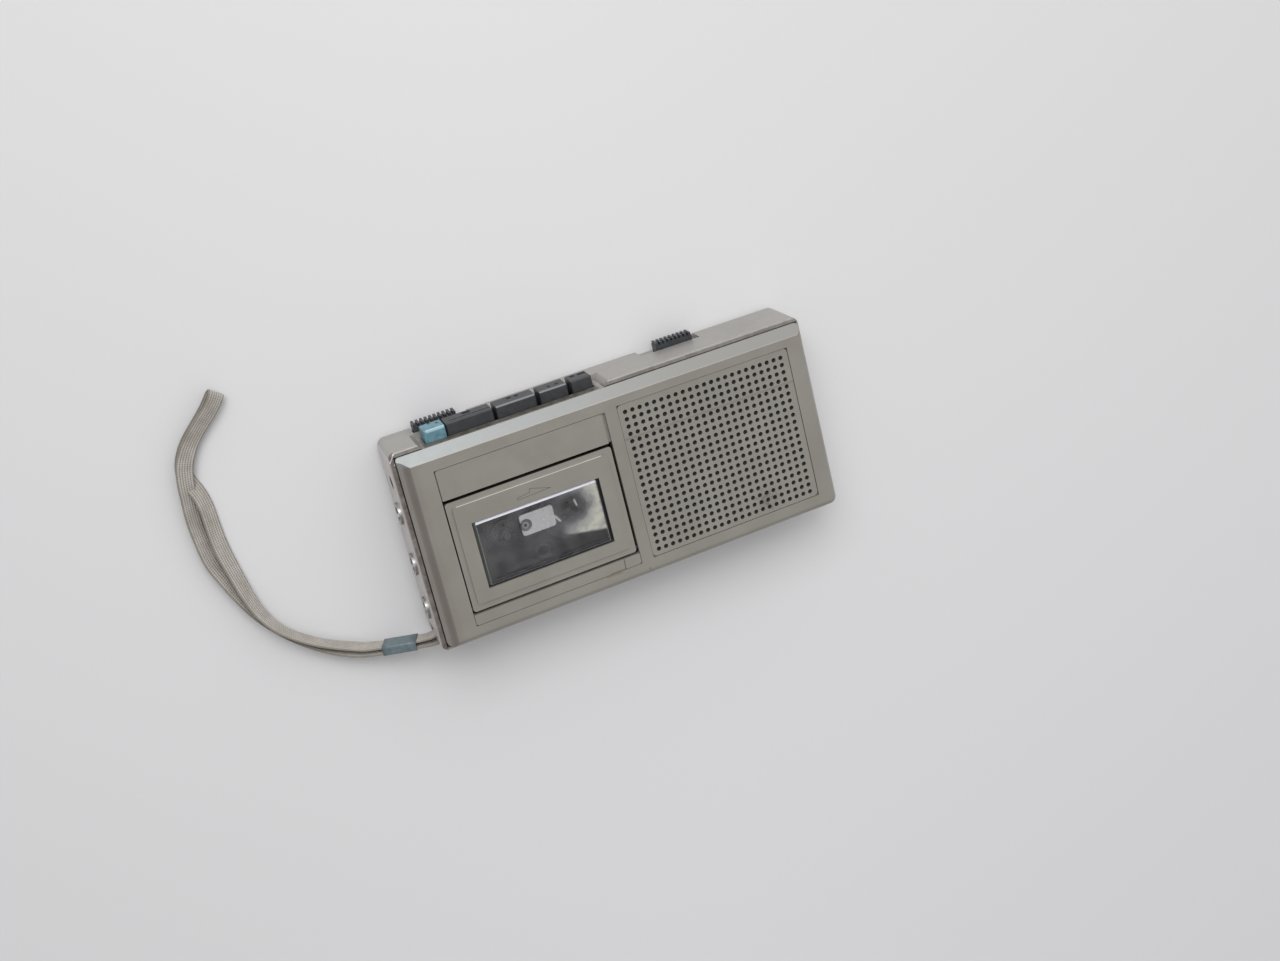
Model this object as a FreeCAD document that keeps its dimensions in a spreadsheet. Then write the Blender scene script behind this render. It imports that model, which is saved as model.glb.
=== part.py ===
import FreeCAD, Part
import math
import os
import Sketcher
from FreeCAD import Placement, Rotation, Vector

# Pocket dictation machine that records on microcassettes
# It lies on its back: X runs along its length, Y towards the keys, Z out of the front
# The origin is about the middle of the back face

os.makedirs("parts", exist_ok=True)
doc = FreeCAD.newDocument("dictation_machine")
sheet = doc.addObject("Spreadsheet::Sheet", "Sizes")


class Size:
    """A length that keeps its number beside the sheet expression it comes from."""

    def __init__(self, number, text):
        self.number = number
        self.text = text

    def __add__(self, other):
        other = as_size(other)
        return Size(self.number + other.number, f"({self.text} + {other.text})")

    def __radd__(self, other):
        return as_size(other) + self

    def __sub__(self, other):
        other = as_size(other)
        return Size(self.number - other.number, f"({self.text} - {other.text})")

    def __rsub__(self, other):
        return as_size(other) - self

    def __mul__(self, factor):
        return Size(self.number * factor, f"({self.text} * {factor})")

    __rmul__ = __mul__

    def __truediv__(self, divisor):
        return Size(self.number / divisor, f"({self.text} / {divisor})")

    def __neg__(self):
        return Size(-self.number, f"(0 - {self.text})")


def as_size(value):
    return value if isinstance(value, Size) else Size(float(value), repr(float(value)))


sheet_row = 0


def size(alias, number, meaning):
    """Write one driving dimension, in millimetres, into the sheet."""
    global sheet_row
    sheet_row += 1
    sheet.set(f"A{sheet_row}", meaning)
    sheet.set(f"B{sheet_row}", str(number))
    sheet.setAlias(f"B{sheet_row}", alias)
    return Size(float(number), f"Sizes.{alias}")


def bind(target, name, value):
    target.setExpression(name, as_size(value).text)


# Cabinet
lid_left = size("lid_left", 67.6, "front half, origin to left edge")
lid_right = size("lid_right", 68.7, "front half, origin to right edge")
lid_low = size("lid_low", 33.2, "front half, origin to bottom edge")
lid_high = size("lid_high", 30.45, "front half, origin to top edge")
depth = size("cabinet_depth", 24.0, "back face to front face")
left_step = size("left_step", 1.9, "rear half stands proud of the front half on the left")
right_step = size("right_step", 1.05, "rear half stands proud of the front half on the right")
low_step = size("low_step", 1.1, "rear half stands proud of the front half at the bottom")
top_step = size("top_step", 1.75, "rear half stands proud of the front half at the top")
rim_drop = size("rim_drop", 3.1, "front face back to the rear half's rim")
lid_skirt = size("lid_skirt", 6.9, "front face back to the end of the front half's skirt")
front_wall = size("front_wall", 1.8, "front wall thickness")
skirt_wall = size("skirt_wall", 1.6, "thickness of the front half's skirt")
side_wall = size("side_wall", 2.0, "rear half's side walls")
top_wall = size("top_wall", 3.5, "rear half's wall under the keys")
back_wall = size("back_wall", 2.0, "back wall thickness")
parting_gap = size("parting_gap", 0.25, "line between the two halves")
seat_gap = size("seat_gap", 0.1, "clearance between seated pieces")
lid_low_corner = size("lid_low_corner", 2.4, "front half's corner radius at the bottom")
lid_top_corner = size("lid_top_corner", 0.9, "front half's corner radius at the top")
tub_corner = size("tub_corner", 2.5, "rear half's corner radius")
back_round = size("back_round", 2.4, "rounding of the back edges")
rim_round = size("rim_round", 0.65, "rounding of the rear half's rim")
front_round = size("front_round", 2.0, "rounding of the right and bottom front edges")
top_bevel_wide = size("top_bevel_wide", 3.4, "bevel along the top, seen from the front")
top_bevel_deep = size("top_bevel_deep", 2.75, "bevel along the top, its depth")
rim_wide = size("rim_wide", 3.4, "left rim beside the raised face")
rim_slope = size("rim_slope", 2.2, "width of the slope down to the left rim")
rim_deep = size("rim_deep", 1.5, "depth of the left rim at the foot of its slope")
rim_fall = size("rim_fall", 1.9, "depth of the left rim at its outer edge")

# Cassette door, its insert and the cassette space
insert_left = size("insert_left", 57.8, "origin to the insert recess, left side")
insert_right = size("insert_right", 1.78, "origin to the insert recess, right side")
insert_top = size("insert_top", 23.55, "origin to the insert recess, top")
insert_low = size("insert_low", 28.7, "origin to the insert recess, bottom")
insert_deep = size("insert_deep", 1.0, "depth of the insert recess")
plate_gap = size("plate_gap", 0.15, "gap round the insert plates")
head_gap_left = size("head_gap_left", 0.35, "gap at the left end of the plate above the door")
head_gap_right = size("head_gap_right", 1.1, "gap at the right end of the plate above the door")
door_gap_left = size("door_gap_left", 0.45, "gap left of the door")
door_gap_right = size("door_gap_right", 0.85, "gap right of the door")
door_gap_top = size("door_gap_top", 1.1, "gap above the door")
door_gap_low = size("door_gap_low", 0.8, "gap below the door")
strip_low = size("strip_low", 13.45, "origin to the lower edge of the plate above the door")
hinge_strip_top = size("hinge_strip_top", 25.0, "origin to the upper edge of the plate below the door")
door_thick = size("door_thick", 1.9, "door panel thickness")
door_drop = size("door_drop", 0.2, "door rim below the front face")
raised = size("door_raised", 0.5, "raised middle of the door")
raised_side = size("raised_side", 1.85, "door rim left and right of the raised middle")
raised_end = size("raised_end", 2.1, "door rim above and below the raised middle")
window_left = size("window_left", 50.95, "origin to the window, left side")
window_right = size("window_right", 8.85, "origin to the window, right side")
window_top = size("window_top", 3.9, "origin to the window, top")
window_low = size("window_low", 18.15, "origin to the window, bottom")
window_proud = size("window_proud", 0.1, "window in front of the door's raised middle")
window_bevel = size("window_bevel", 1.1, "window's bevelled edge")
window_flange = size("window_flange", 1.4, "flange round the back of the window")
hinge_y = size("hinge_low", 23.1, "origin to the door's hinge line")
hinge_drop = size("hinge_drop", 1.1, "front face to the door's hinge line")
hinge_pin = size("hinge_pin", 0.6, "radius of the door's pins")
running = size("running_clearance", 0.05, "radial clearance of turning pins and shafts")
ear_long = size("ear_long", 3.4, "hinge ears, left to right")
holder_depth = size("holder_depth", 8.5, "depth of the cassette holder behind the door")
holder_sheet = size("holder_sheet", 0.7, "thickness of the cassette holder")
holder_lip = size("holder_lip", 1.0, "lip that carries the cassette")

# Grille and speaker
hole_pitch = size("hole_pitch", 2.5, "distance between grille holes")
hole_size = size("hole_size", 1.5, "grille hole diameter")
grille_left = size("grille_left", 2.4, "origin to the grille panel, left side")
grille_right = size("grille_right", 62.4, "origin to the grille panel, right side")
grille_top = size("grille_top", 24.1, "origin to the grille panel, top")
grille_low = size("grille_low", 28.1, "origin to the grille panel, bottom")
grille_sheet = size("grille_sheet", 0.5, "grille panel thickness")
grille_drop = size("grille_drop", 0.25, "grille panel below the front face")
cloth_thick = size("cloth_thick", 0.2, "thickness of the cloth behind the grille")
first_hole = size("first_hole_edge", 2.35, "panel's left edge to the first hole")
first_row = size("first_row_edge", 2.7, "panel's top edge to the first row")
speaker_x = size("speaker_across", 40.75, "speaker centre from the origin, across")
speaker_y = size("speaker_up", 5.1, "speaker centre from the origin, up")
speaker_opening = size("speaker_opening", 18.9, "radius of the opening behind the grille")
speaker_radius = size("speaker_radius", 20.6, "speaker frame radius")
speaker_depth = size("speaker_depth", 4.6, "speaker, front to back of magnet")
magnet_radius = size("magnet_radius", 10.0, "speaker magnet radius")
microphone_x = size("microphone_across", 44.1, "microphone from the origin, across")
microphone_y = size("microphone_low", 23.6, "microphone from the origin, down")
microphone_radius = size("microphone_radius", 3.0, "microphone capsule radius")
microphone_deep = size("microphone_deep", 4.9, "microphone cup, front to back")

# Keys and sliders
key_top = size("key_top", 34.4, "origin to the tops of the keys")
key_foot = size("key_foot", 27.5, "origin to the undersides of the keys")
key_front_drop = size("key_front_drop", 7.2, "front face to the keys' front faces")
key_deep = size("key_deep", 6.9, "keys, front to back")
key_gap = size("key_gap", 0.3, "gap between the keys and their opening")
key_round = size("key_round", 0.5, "rounding of the keys' top edges")
keys_left = size("keys_left", 57.0, "origin to the key opening, left side")
keys_right = size("keys_right", 0.95, "origin to the key opening, right side")
key_recess_left = size("key_recess_left", 60.2, "origin to the key recess, left side")
key_recess_right = size("key_recess_right", 2.6, "origin to the key recess, right side")
key_recess_slope = size("key_recess_slope", 1.8, "slant of the two ends of the key recess")
stem_wide = size("stem_wide", 3.0, "key stem, left to right")
stem_thick = size("stem_thick", 2.0, "key stem, front to back")
stem_end = size("stem_end", 20.4, "origin to the lower ends of the key stems")
bracket_y = size("bracket_up", 22.4, "origin to the key bracket")
bracket_sheet = size("bracket_sheet", 0.8, "key bracket thickness")
slider_top = size("slider_top", 34.65, "origin to the tops of the slider ribs")
slider_deep = size("slider_deep", 4.4, "sliders, front to back")
slider_z = size("slider_level", 5.75, "back face to the middle of the sliders")
slot_deep = size("slot_edge", 8.3, "back face to the front edge of the slider notches")
slot_spare = size("slot_spare", 2.0, "slot showing past the volume slider's left end")
rib_pitch = size("rib_pitch", 1.45, "distance between slider ribs")
rib_wide = size("rib_wide", 0.8, "width of a slider rib")
rib_high = size("rib_high", 1.0, "height of a slider rib")
pause_left = size("pause_left", 58.1, "origin to the pause slider's left end")
pause_long = size("pause_long", 14.05, "pause slider length")
pause_travel = size("pause_travel", 4.0, "pause slider travel")
volume_left = size("volume_left", 24.3, "origin to the volume slider's left end")
volume_long = size("volume_long", 12.8, "volume slider length")
volume_down = size("volume_down", 5.3, "volume slider travel to the left")
volume_up = size("volume_up", 2.1, "volume slider travel to the right")
slider_stem = size("slider_stem", 2.4, "width of the sliders' stems")
slider_gap = size("slider_gap", 0.4, "gap at the ends of a slider's notch")

# Tape transport
deck_z = size("deck_level", 10.2, "back face to the deck's underside")
deck_sheet = size("deck_sheet", 1.0, "deck thickness")
deck_left = size("deck_left", 57.6, "origin to the deck, left side")
deck_right = size("deck_right", 1.4, "origin to the deck, right side")
deck_low = size("deck_low", 25.5, "origin to the deck, bottom")
deck_high = size("deck_high", 23.2, "origin to the deck, top")
reel_mid = size("reel_mid", 29.3, "origin to the middle between the reels")
reel_pitch = size("reel_pitch", 21.5, "distance between the reels")
reel_y = size("reel_low", 6.8, "origin to the reel centres, down")
reel_shaft = size("reel_shaft", 1.0, "reel shaft radius")
reel_hub = size("reel_hub", 2.2, "reel hub radius")
reel_table = size("reel_table", 4.2, "reel table radius")
reel_tip = size("reel_tip", 16.6, "back face to the reel tips")
reel_end = size("reel_end", 6.6, "back face to the lower ends of the reel shafts")
gear_radius = size("gear_radius", 9.6, "take-up gear radius")
gear_thick = size("gear_thick", 0.7, "take-up gear thickness")
screw_plate_left = size("screw_plate_left", 34.7, "origin to the bright plate, left side")
screw_plate_long = size("screw_plate_long", 11.2, "bright plate length")
screw_plate_wide = size("screw_plate_wide", 7.1, "bright plate width")
screw_plate_mid = size("screw_plate_mid", 6.6, "origin to the bright plate's centre line, down")
screw_plate_thick = size("screw_plate_thick", 0.7, "bright plate thickness")
screw_plate_level = size("screw_plate_level", 12.4, "back face to the bright plate's underside")
screw_shift = size("screw_shift", 2.0, "bright plate's left end to its screw")
capstan_x = size("capstan_across", 13.5, "origin to the capstan, left")
capstan_y = size("capstan_up", 7.6, "origin to the capstan, up")
capstan_radius = size("capstan_radius", 0.8, "capstan radius")
capstan_tip = size("capstan_tip", 19.0, "back face to the tip of the capstan")
flywheel_radius = size("flywheel_radius", 11.0, "flywheel radius")
flywheel_thick = size("flywheel_thick", 2.8, "flywheel thickness")
flywheel_z = size("flywheel_level", 2.6, "back face to the flywheel's underside")
groove_deep = size("groove_deep", 0.8, "belt groove depth")
motor_x = size("motor_across", 42.0, "origin to the motor, left")
motor_y = size("motor_up", 12.0, "origin to the motor, up")
motor_radius = size("motor_radius", 9.8, "motor radius")
motor_tall = size("motor_tall", 4.3, "motor height")
pulley_radius = size("pulley_radius", 2.6, "motor pulley radius")
belt_thick = size("belt_thick", 0.6, "belt thickness")
head_travel = size("head_travel", 2.5, "how far the heads move to the tape")
roller_radius = size("roller_radius", 3.0, "pinch roller radius")
roller_gap = size("roller_gap", 0.3, "pinch roller to capstan when the heads are in")
head_tip = size("head_tip", 18.0, "back face to the front of the recording head")
deck_post = size("deck_post", 1.9, "radius of the posts under the deck")
deck_screw_left = size("deck_screw_left", 54.5, "origin to the left deck screws")
deck_screw_right = size("deck_screw_right", 4.4, "origin to the right deck screws")
deck_screw_low = size("deck_screw_low", 22.5, "origin to the lower deck screws")
deck_screw_high = size("deck_screw_high", 19.4, "origin to the upper deck screws")
deck_screw_shank = size("deck_screw_shank", 0.6, "deck screw radius")
board_thick = size("board_thick", 1.2, "circuit board thickness")
board_left = size("board_left", 62.4, "origin to the circuit board, left side")
board_right = size("board_right", 5.4, "origin to the circuit board, right side")
board_low = size("board_low", 30.8, "origin to the circuit board, bottom")
board_high = size("board_high", 3.8, "origin to the circuit board, top")

# Power, sockets, screws and strap
cell_radius = size("cell_radius", 7.2, "battery cell radius")
cell_long = size("cell_long", 49.5, "battery cell length without its cap")
bay_left = size("bay_left", 6.6, "origin to the battery tray, left side")
bay_right = size("bay_right", 66.6, "origin to the battery tray, right side")
bay_low = size("bay_low", 31.2, "origin to the battery tray, bottom")
bay_high = size("bay_high", 0.7, "origin to the battery tray, top")
bay_wall = size("bay_wall", 0.7, "battery tray walls")
cover_thick = size("cover_thick", 1.8, "battery cover thickness")
cover_tongue = size("cover_tongue", 0.8, "width of the battery cover's tongues")
tongue_thick = size("tongue_thick", 0.6, "thickness of the battery cover's tongues")
tongue_gap = size("tongue_gap", 0.12, "clearance round the cover's tongues")
cover_end_gap = size("cover_end_gap", 0.3, "gap at the battery cover's inner end")
cover_end_round = size("cover_end_round", 1.7, "rounding of the battery cover's outer end")
socket_z = size("socket_level", 13.0, "back face to the socket centres")
socket_long = size("socket_long", 8.2, "length of a socket body")
socket_body = size("socket_body", 6.6, "width of a socket body")
socket_sleeve = size("socket_sleeve", 2.9, "radius of a socket sleeve")
plug_radius = size("plug_radius", 1.78, "bore of the two larger sockets")
small_plug_radius = size("small_plug_radius", 1.28, "bore of the remote socket")
socket_deep = size("socket_deep", 8.0, "bore depth of a socket")
nut_radius = size("nut_radius", 3.6, "radius of a socket nut")
nut_thick = size("nut_thick", 0.8, "thickness of a socket nut")
screw_shank = size("screw_shank", 0.8, "cabinet screw radius")
screw_head = size("screw_head", 2.0, "cabinet screw head radius")
post_radius = size("post_radius", 2.6, "cabinet screw post radius")
screw_left = size("screw_left", 61.5, "origin to the left cabinet screws")
screw_low = size("screw_low", 28.6, "origin to the lower cabinet screws")
screw_high = size("screw_high", 26.25, "origin to the upper cabinet screws")
screw_mid = size("screw_mid", 2.4, "origin to the lower middle cabinet screw")
screw_right = size("screw_right", 64.4, "origin to the upper right cabinet screw")
recess_long = size("recess_long", 2.4, "length of the cross in a cabinet screw's head")
recess_wide = size("recess_wide", 0.5, "width of the cross in a cabinet screw's head")
bar_x = size("bar_across", 66.7, "origin to the strap bar, left")
bar_y = size("bar_low", 31.9, "origin to the strap bar, down")
bar_radius = size("bar_radius", 0.8, "strap bar radius")
bar_z = size("bar_level", 10.5, "back face to the middle of the strap bar")
bar_reach = size("bar_reach", 1.6, "how far the strap bar goes into each side of its notch")
notch_tall = size("strap_notch_tall", 7.0, "height of the notch round the strap bar")
notch_reach = size("strap_notch_reach", 2.6, "strap bar to the inner wall of its notch")
strap_wide = size("strap_wide", 5.6, "strap width")
strap_thick = size("strap_thick", 1.1, "strap thickness")
keeper_wall = size("keeper_wall", 0.45, "wall of the sleeve on the strap")
keeper_long = size("keeper_long", 9.0, "length of the sleeve on the strap")
keeper_room = size("keeper_room", 3.3, "width of the sleeve's tunnel across the two runs")

tub_left = lid_left + left_step
tub_right = lid_right + right_step
tub_low = lid_low + low_step
tub_high = lid_high + top_step
rim_z = depth - rim_drop
lid_seat = depth - lid_skirt
cavity_high = tub_high - top_wall
deck_top = deck_z + deck_sheet
key_front = depth - key_front_drop
key_back = key_front - key_deep
supply_x = -reel_mid - reel_pitch / 2
takeup_x = -reel_mid + reel_pitch / 2
beyond = 3.0

finished = {}


def finish(node, shape_object):
    """Give a finished sub-part its own label, which names its file."""
    shape_object.Label = node
    finished[node] = shape_object
    return shape_object


def block(name, across, up, out):
    """A box between pairs of X, Y and Z limits."""
    solid = doc.addObject("Part::Box", name)
    for side, axis, limits in (("Length", "x", across), ("Width", "y", up), ("Height", "z", out)):
        bind(solid, side, as_size(limits[1]) - limits[0])
        bind(solid, f"Placement.Base.{axis}", limits[0])
    return solid


AXIS_TURN = {
    "x": Rotation(Vector(0, 1, 0), 90),
    "y": Rotation(Vector(1, 0, 0), -90),
    "z": Rotation(),
}


def rod(name, axis, centre, span, radius):
    """A cylinder along one axis, through the centre given on the other two."""
    solid = doc.addObject("Part::Cylinder", name)
    solid.Placement = Placement(Vector(), AXIS_TURN[axis])
    bind(solid, "Radius", radius)
    bind(solid, "Height", as_size(span[1]) - span[0])
    places = dict(zip([letter for letter in "xyz" if letter != axis], centre))
    places[axis] = span[0]
    for letter, place in places.items():
        bind(solid, f"Placement.Base.{letter}", place)
    return solid


def taper(name, centre, span, low_radius, high_radius):
    """A cone along Z."""
    solid = doc.addObject("Part::Cone", name)
    bind(solid, "Radius1", low_radius)
    bind(solid, "Radius2", high_radius)
    bind(solid, "Height", as_size(span[1]) - span[0])
    for letter, place in zip("xyz", (centre[0], centre[1], span[0])):
        bind(solid, f"Placement.Base.{letter}", place)
    return solid


def join(name, *solids):
    whole = doc.addObject("Part::MultiFuse", name)
    whole.Shapes = list(solids)
    return whole


def cut(name, base, *tools):
    result = doc.addObject("Part::Cut", name)
    result.Base = base
    result.Tool = tools[0] if len(tools) == 1 else join(name + "_tools", *tools)
    return result


def group(name, *solids):
    """Separate solids that share one node."""
    whole = doc.addObject("Part::Compound", name)
    whole.Links = list(solids)
    return whole


def edges_where(shape, test):
    return [number for number, edge in enumerate(shape.Edges, 1) if test(edge)]


def runs_along(edge, axis):
    """True for a straight edge along the axis."""
    if not isinstance(edge.Curve, (Part.Line, Part.LineSegment)):
        return False
    direction = edge.Vertexes[-1].Point - edge.Vertexes[0].Point
    return abs(direction.normalize().dot(axis)) > 0.999


def rounded(name, base, radius, test):
    """A fillet on the edges of a finished solid that pass the test."""
    doc.recompute()
    result = doc.addObject("Part::Fillet", name)
    result.Base = base
    number = as_size(radius).number
    result.Edges = [(index, number, number) for index in edges_where(base.Shape, test)]
    return result


def origin_plane(body, role):
    return next(plane for plane in body.Origin.OriginFeatures if plane.Role == role)


def outline(body, name, role, offset, points):
    """A closed sketch of straight lines on an origin plane, each corner bound to the sheet."""
    sketch = body.newObject("Sketcher::SketchObject", name)
    sketch.AttachmentSupport = [(origin_plane(body, role), "")]
    sketch.MapMode = "FlatFace"
    bind(sketch, "AttachmentOffset.Base.z", offset)
    corners = [(as_size(u), as_size(v)) for u, v in points]
    count = len(corners)
    for index, (u, v) in enumerate(corners):
        next_u, next_v = corners[(index + 1) % count]
        start = Vector(u.number, v.number, 0)
        sketch.addGeometry(Part.LineSegment(start, Vector(next_u.number, next_v.number, 0)), False)
    for index in range(count):
        sketch.addConstraint(Sketcher.Constraint("Coincident", index, 2, (index + 1) % count, 1))
    for index, (u, v) in enumerate(corners):
        for kind, place in (("DistanceX", u), ("DistanceY", v)):
            label = f"{name}_{kind[-1].lower()}{index}"
            if place.number >= 0:
                rule = Sketcher.Constraint(kind, -1, 1, index, 1, place.number)
                text = place.text
            else:
                rule = Sketcher.Constraint(kind, index, 1, -1, 1, -place.number)
                text = (-place).text
            number = sketch.addConstraint(rule)
            sketch.renameConstraint(number, label)
            sketch.setExpression(f"Constraints.{label}", text)
    return sketch


def box_points(across, up):
    return [(across[0], up[0]), (across[1], up[0]), (across[1], up[1]), (across[0], up[1])]


def new_body(name):
    return doc.addObject("PartDesign::Body", name)


def pad(body, name, across, up, out):
    """Add a block to a body."""
    sketch = outline(body, name + "_sketch", "XY_Plane", out[0], box_points(across, up))
    feature = body.newObject("PartDesign::Pad", name)
    feature.Profile = sketch
    bind(feature, "Length", as_size(out[1]) - out[0])
    return feature


def pocket(body, name, across, up, out):
    """Cut a block from a body, working back from its front side."""
    sketch = outline(body, name + "_sketch", "XY_Plane", out[1], box_points(across, up))
    feature = body.newObject("PartDesign::Pocket", name)
    feature.Profile = sketch
    bind(feature, "Length", as_size(out[1]) - out[0])
    return feature


def shave(body, name, role, points):
    """Cut a bevel of the given outline along the whole body."""
    sketch = outline(body, name + "_sketch", role, 0.0, points)
    feature = body.newObject("PartDesign::Pocket", name)
    feature.Profile = sketch
    feature.Type = 1
    feature.Midplane = True
    return feature


def soften(body, name, radius, test):
    """Round the body's edges that pass the test."""
    doc.recompute()
    feature = body.newObject("PartDesign::Fillet", name)
    tip = body.Tip if body.Tip is not feature else feature.BaseFeature
    feature.Base = (tip, [f"Edge{index}" for index in edges_where(tip.Shape, test)])
    bind(feature, "Radius", radius)
    return feature


def near(value, place):
    return abs(value - as_size(place).number) < 0.02


# Front half of the cabinet: one moulding with the recesses for grille, door and insert plates
lid = new_body("front_moulding")
pad(lid, "front_block", (-lid_left, lid_right), (-lid_low, lid_high), (lid_seat + seat_gap, depth))
soften(
    lid,
    "low_corners",
    lid_low_corner,
    lambda edge: runs_along(edge, Vector(0, 0, 1)) and edge.CenterOfMass.y < 0,
)
soften(
    lid,
    "front_edges",
    front_round,
    lambda edge: near(edge.CenterOfMass.z, depth)
    and (near(edge.CenterOfMass.x, lid_right) or near(edge.CenterOfMass.y, -lid_low)),
)
shave(
    lid,
    "left_rim",
    "XZ_Plane",
    [
        (-lid_left - beyond, depth + beyond),
        (-lid_left - beyond, depth - rim_fall),
        (-lid_left, depth - rim_fall),
        (-lid_left + rim_wide - rim_slope, depth - rim_deep),
        (-lid_left + rim_wide, depth),
        (-lid_left + rim_wide, depth + beyond),
    ],
)
shave(
    lid,
    "top_bevel",
    "YZ_Plane",
    [
        (lid_high - top_bevel_wide, depth),
        (lid_high, depth - top_bevel_deep),
        (lid_high + beyond, depth - top_bevel_deep),
        (lid_high + beyond, depth + beyond),
        (lid_high - top_bevel_wide, depth + beyond),
    ],
)
soften(
    lid,
    "top_corners",
    lid_top_corner,
    lambda edge: runs_along(edge, Vector(0, 0, 1)) and near(edge.CenterOfMass.y, lid_high),
)
inner_front = depth - front_wall
skirt_left = lid_left - skirt_wall
skirt_right = lid_right - skirt_wall
skirt_low = lid_low - skirt_wall
skirt_high = lid_high - skirt_wall * 1.5
pocket(lid, "front_hollow", (-skirt_left, skirt_right), (-skirt_low, skirt_high), (lid_seat, inner_front))
insert_floor = depth - insert_deep
pocket(lid, "insert_recess", (-insert_left, -insert_right), (-insert_low, insert_top), (insert_floor, depth))
pocket(
    lid, "door_opening", (-insert_left, -insert_right), (-hinge_strip_top, strip_low), (lid_seat, depth)
)
grille_back = depth - grille_drop - grille_sheet
cloth_back = grille_back - 0.015 - cloth_thick
pocket(
    lid,
    "grille_recess",
    (grille_left - plate_gap, grille_right + plate_gap),
    (-grille_low - plate_gap, grille_top + plate_gap),
    (cloth_back - 0.015, depth),
)

# Ears behind the front wall that carry the door's pins, and bosses for the four cabinet screws
hinge_z = depth - hinge_drop
ear_reach = hinge_pin * 5
for side, across in (
    ("left", (-insert_left - ear_long, -insert_left)),
    ("right", (-insert_right, -insert_right + ear_long)),
):
    pad(
        lid,
        f"{side}_hinge_ear",
        across,
        (-hinge_y - ear_reach / 1.5, -hinge_y + ear_reach / 1.5),
        (hinge_z - ear_reach, inner_front + seat_gap),
    )
screw_places = {
    "low_left": (-screw_left, -screw_low),
    "high_left": (-screw_left, screw_high),
    "low_middle": (screw_mid, -screw_low),
    "high_right": (screw_right, screw_high),
}
front_bosses = []
front_holes = []
for corner, place in screw_places.items():
    boss_span = (lid_seat + seat_gap, inner_front + seat_gap)
    front_bosses.append(rod(f"boss_{corner}", "z", place, boss_span, post_radius - 0.3))
    hole_span = (lid_seat, inner_front - 1.2)
    front_holes.append(rod(f"boss_hole_{corner}", "z", place, hole_span, screw_shank + running))
pin_bore = rod(
    "pin_bore",
    "x",
    (-hinge_y, hinge_z),
    (-insert_left - ear_long + 0.8, -insert_right + ear_long - 0.8),
    hinge_pin + running,
)
speaker_hole = rod(
    "speaker_hole", "z", (speaker_x, speaker_y), (lid_seat, depth + beyond), speaker_opening
)
microphone_hole = rod(
    "microphone_hole", "z", (microphone_x, -microphone_y), (lid_seat, depth + beyond), 1.5
)
front_whole = join("front_whole", lid, *front_bosses)
finish(
    "front_cabinet",
    cut("front_cabinet", front_whole, pin_bore, speaker_hole, microphone_hole, *front_holes),
)

# Rear half of the cabinet: a deep tub whose rim stands proud of the front half
tub = new_body("rear_moulding")
pad(tub, "rear_block", (-tub_left, tub_right), (-tub_low, tub_high), (0.0, rim_z))
soften(tub, "rear_corners", tub_corner, lambda edge: runs_along(edge, Vector(0, 0, 1)))
soften(tub, "rear_edges", back_round, lambda edge: near(edge.CenterOfMass.z, 0.0))
soften(tub, "rim_edges", rim_round, lambda edge: near(edge.CenterOfMass.z, rim_z))
pocket(
    tub,
    "rim_rebate",
    (-lid_left - parting_gap, lid_right + parting_gap),
    (-lid_low - parting_gap, lid_high + parting_gap),
    (lid_seat, rim_z),
)
cavity_left = tub_left - side_wall
cavity_right = tub_right - side_wall
cavity_low = tub_low - side_wall
pocket(
    tub, "rear_hollow", (-cavity_left, cavity_right), (-cavity_low, cavity_high), (back_wall, rim_z)
)
key_floor = tub_high - top_step
key_recess_sketch = outline(
    tub,
    "key_recess_sketch",
    "XY_Plane",
    rim_z,
    [
        (-key_recess_left + key_recess_slope, key_floor),
        (key_recess_right - key_recess_slope, key_floor),
        (key_recess_right, tub_high),
        (key_recess_right, tub_high + beyond),
        (-key_recess_left, tub_high + beyond),
        (-key_recess_left, tub_high),
    ],
)
key_recess = tub.newObject("PartDesign::Pocket", "key_recess")
key_recess.Profile = key_recess_sketch
bind(key_recess, "Length", rim_z - key_back + key_gap)
pocket(
    tub,
    "key_opening",
    (-keys_left, -keys_right),
    (cavity_high - 1.0, tub_high + beyond),
    (key_back - key_gap, rim_z),
)
notches = {
    "pause": (-pause_left - slider_gap, -pause_left + pause_long + pause_travel + slider_gap),
    "volume": (
        volume_left - volume_down - slider_gap,
        volume_left + volume_long + volume_up + slider_gap,
    ),
}
stem_middles = {
    "pause": -pause_left + pause_long / 2,
    "volume": volume_left + volume_long / 2,
}
stem_spans = {
    "pause": (
        stem_middles["pause"] - slider_stem / 2 - slider_gap,
        stem_middles["pause"] + slider_stem / 2 + pause_travel + slider_gap,
    ),
    "volume": (
        stem_middles["volume"] - slider_stem / 2 - volume_down - slider_gap - slot_spare,
        stem_middles["volume"] + slider_stem / 2 + volume_up + slider_gap,
    ),
}
stem_half = stem_thick * 0.35
for control, across in notches.items():
    pocket(
        tub, f"{control}_notch", across, (key_floor, tub_high + beyond), (-beyond, slot_deep)
    )
    pocket(
        tub,
        f"{control}_slot",
        stem_spans[control],
        (cavity_high - 1.0, key_floor + 1.0),
        (slider_z - stem_half - seat_gap, slider_z + stem_half + seat_gap),
    )

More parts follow.
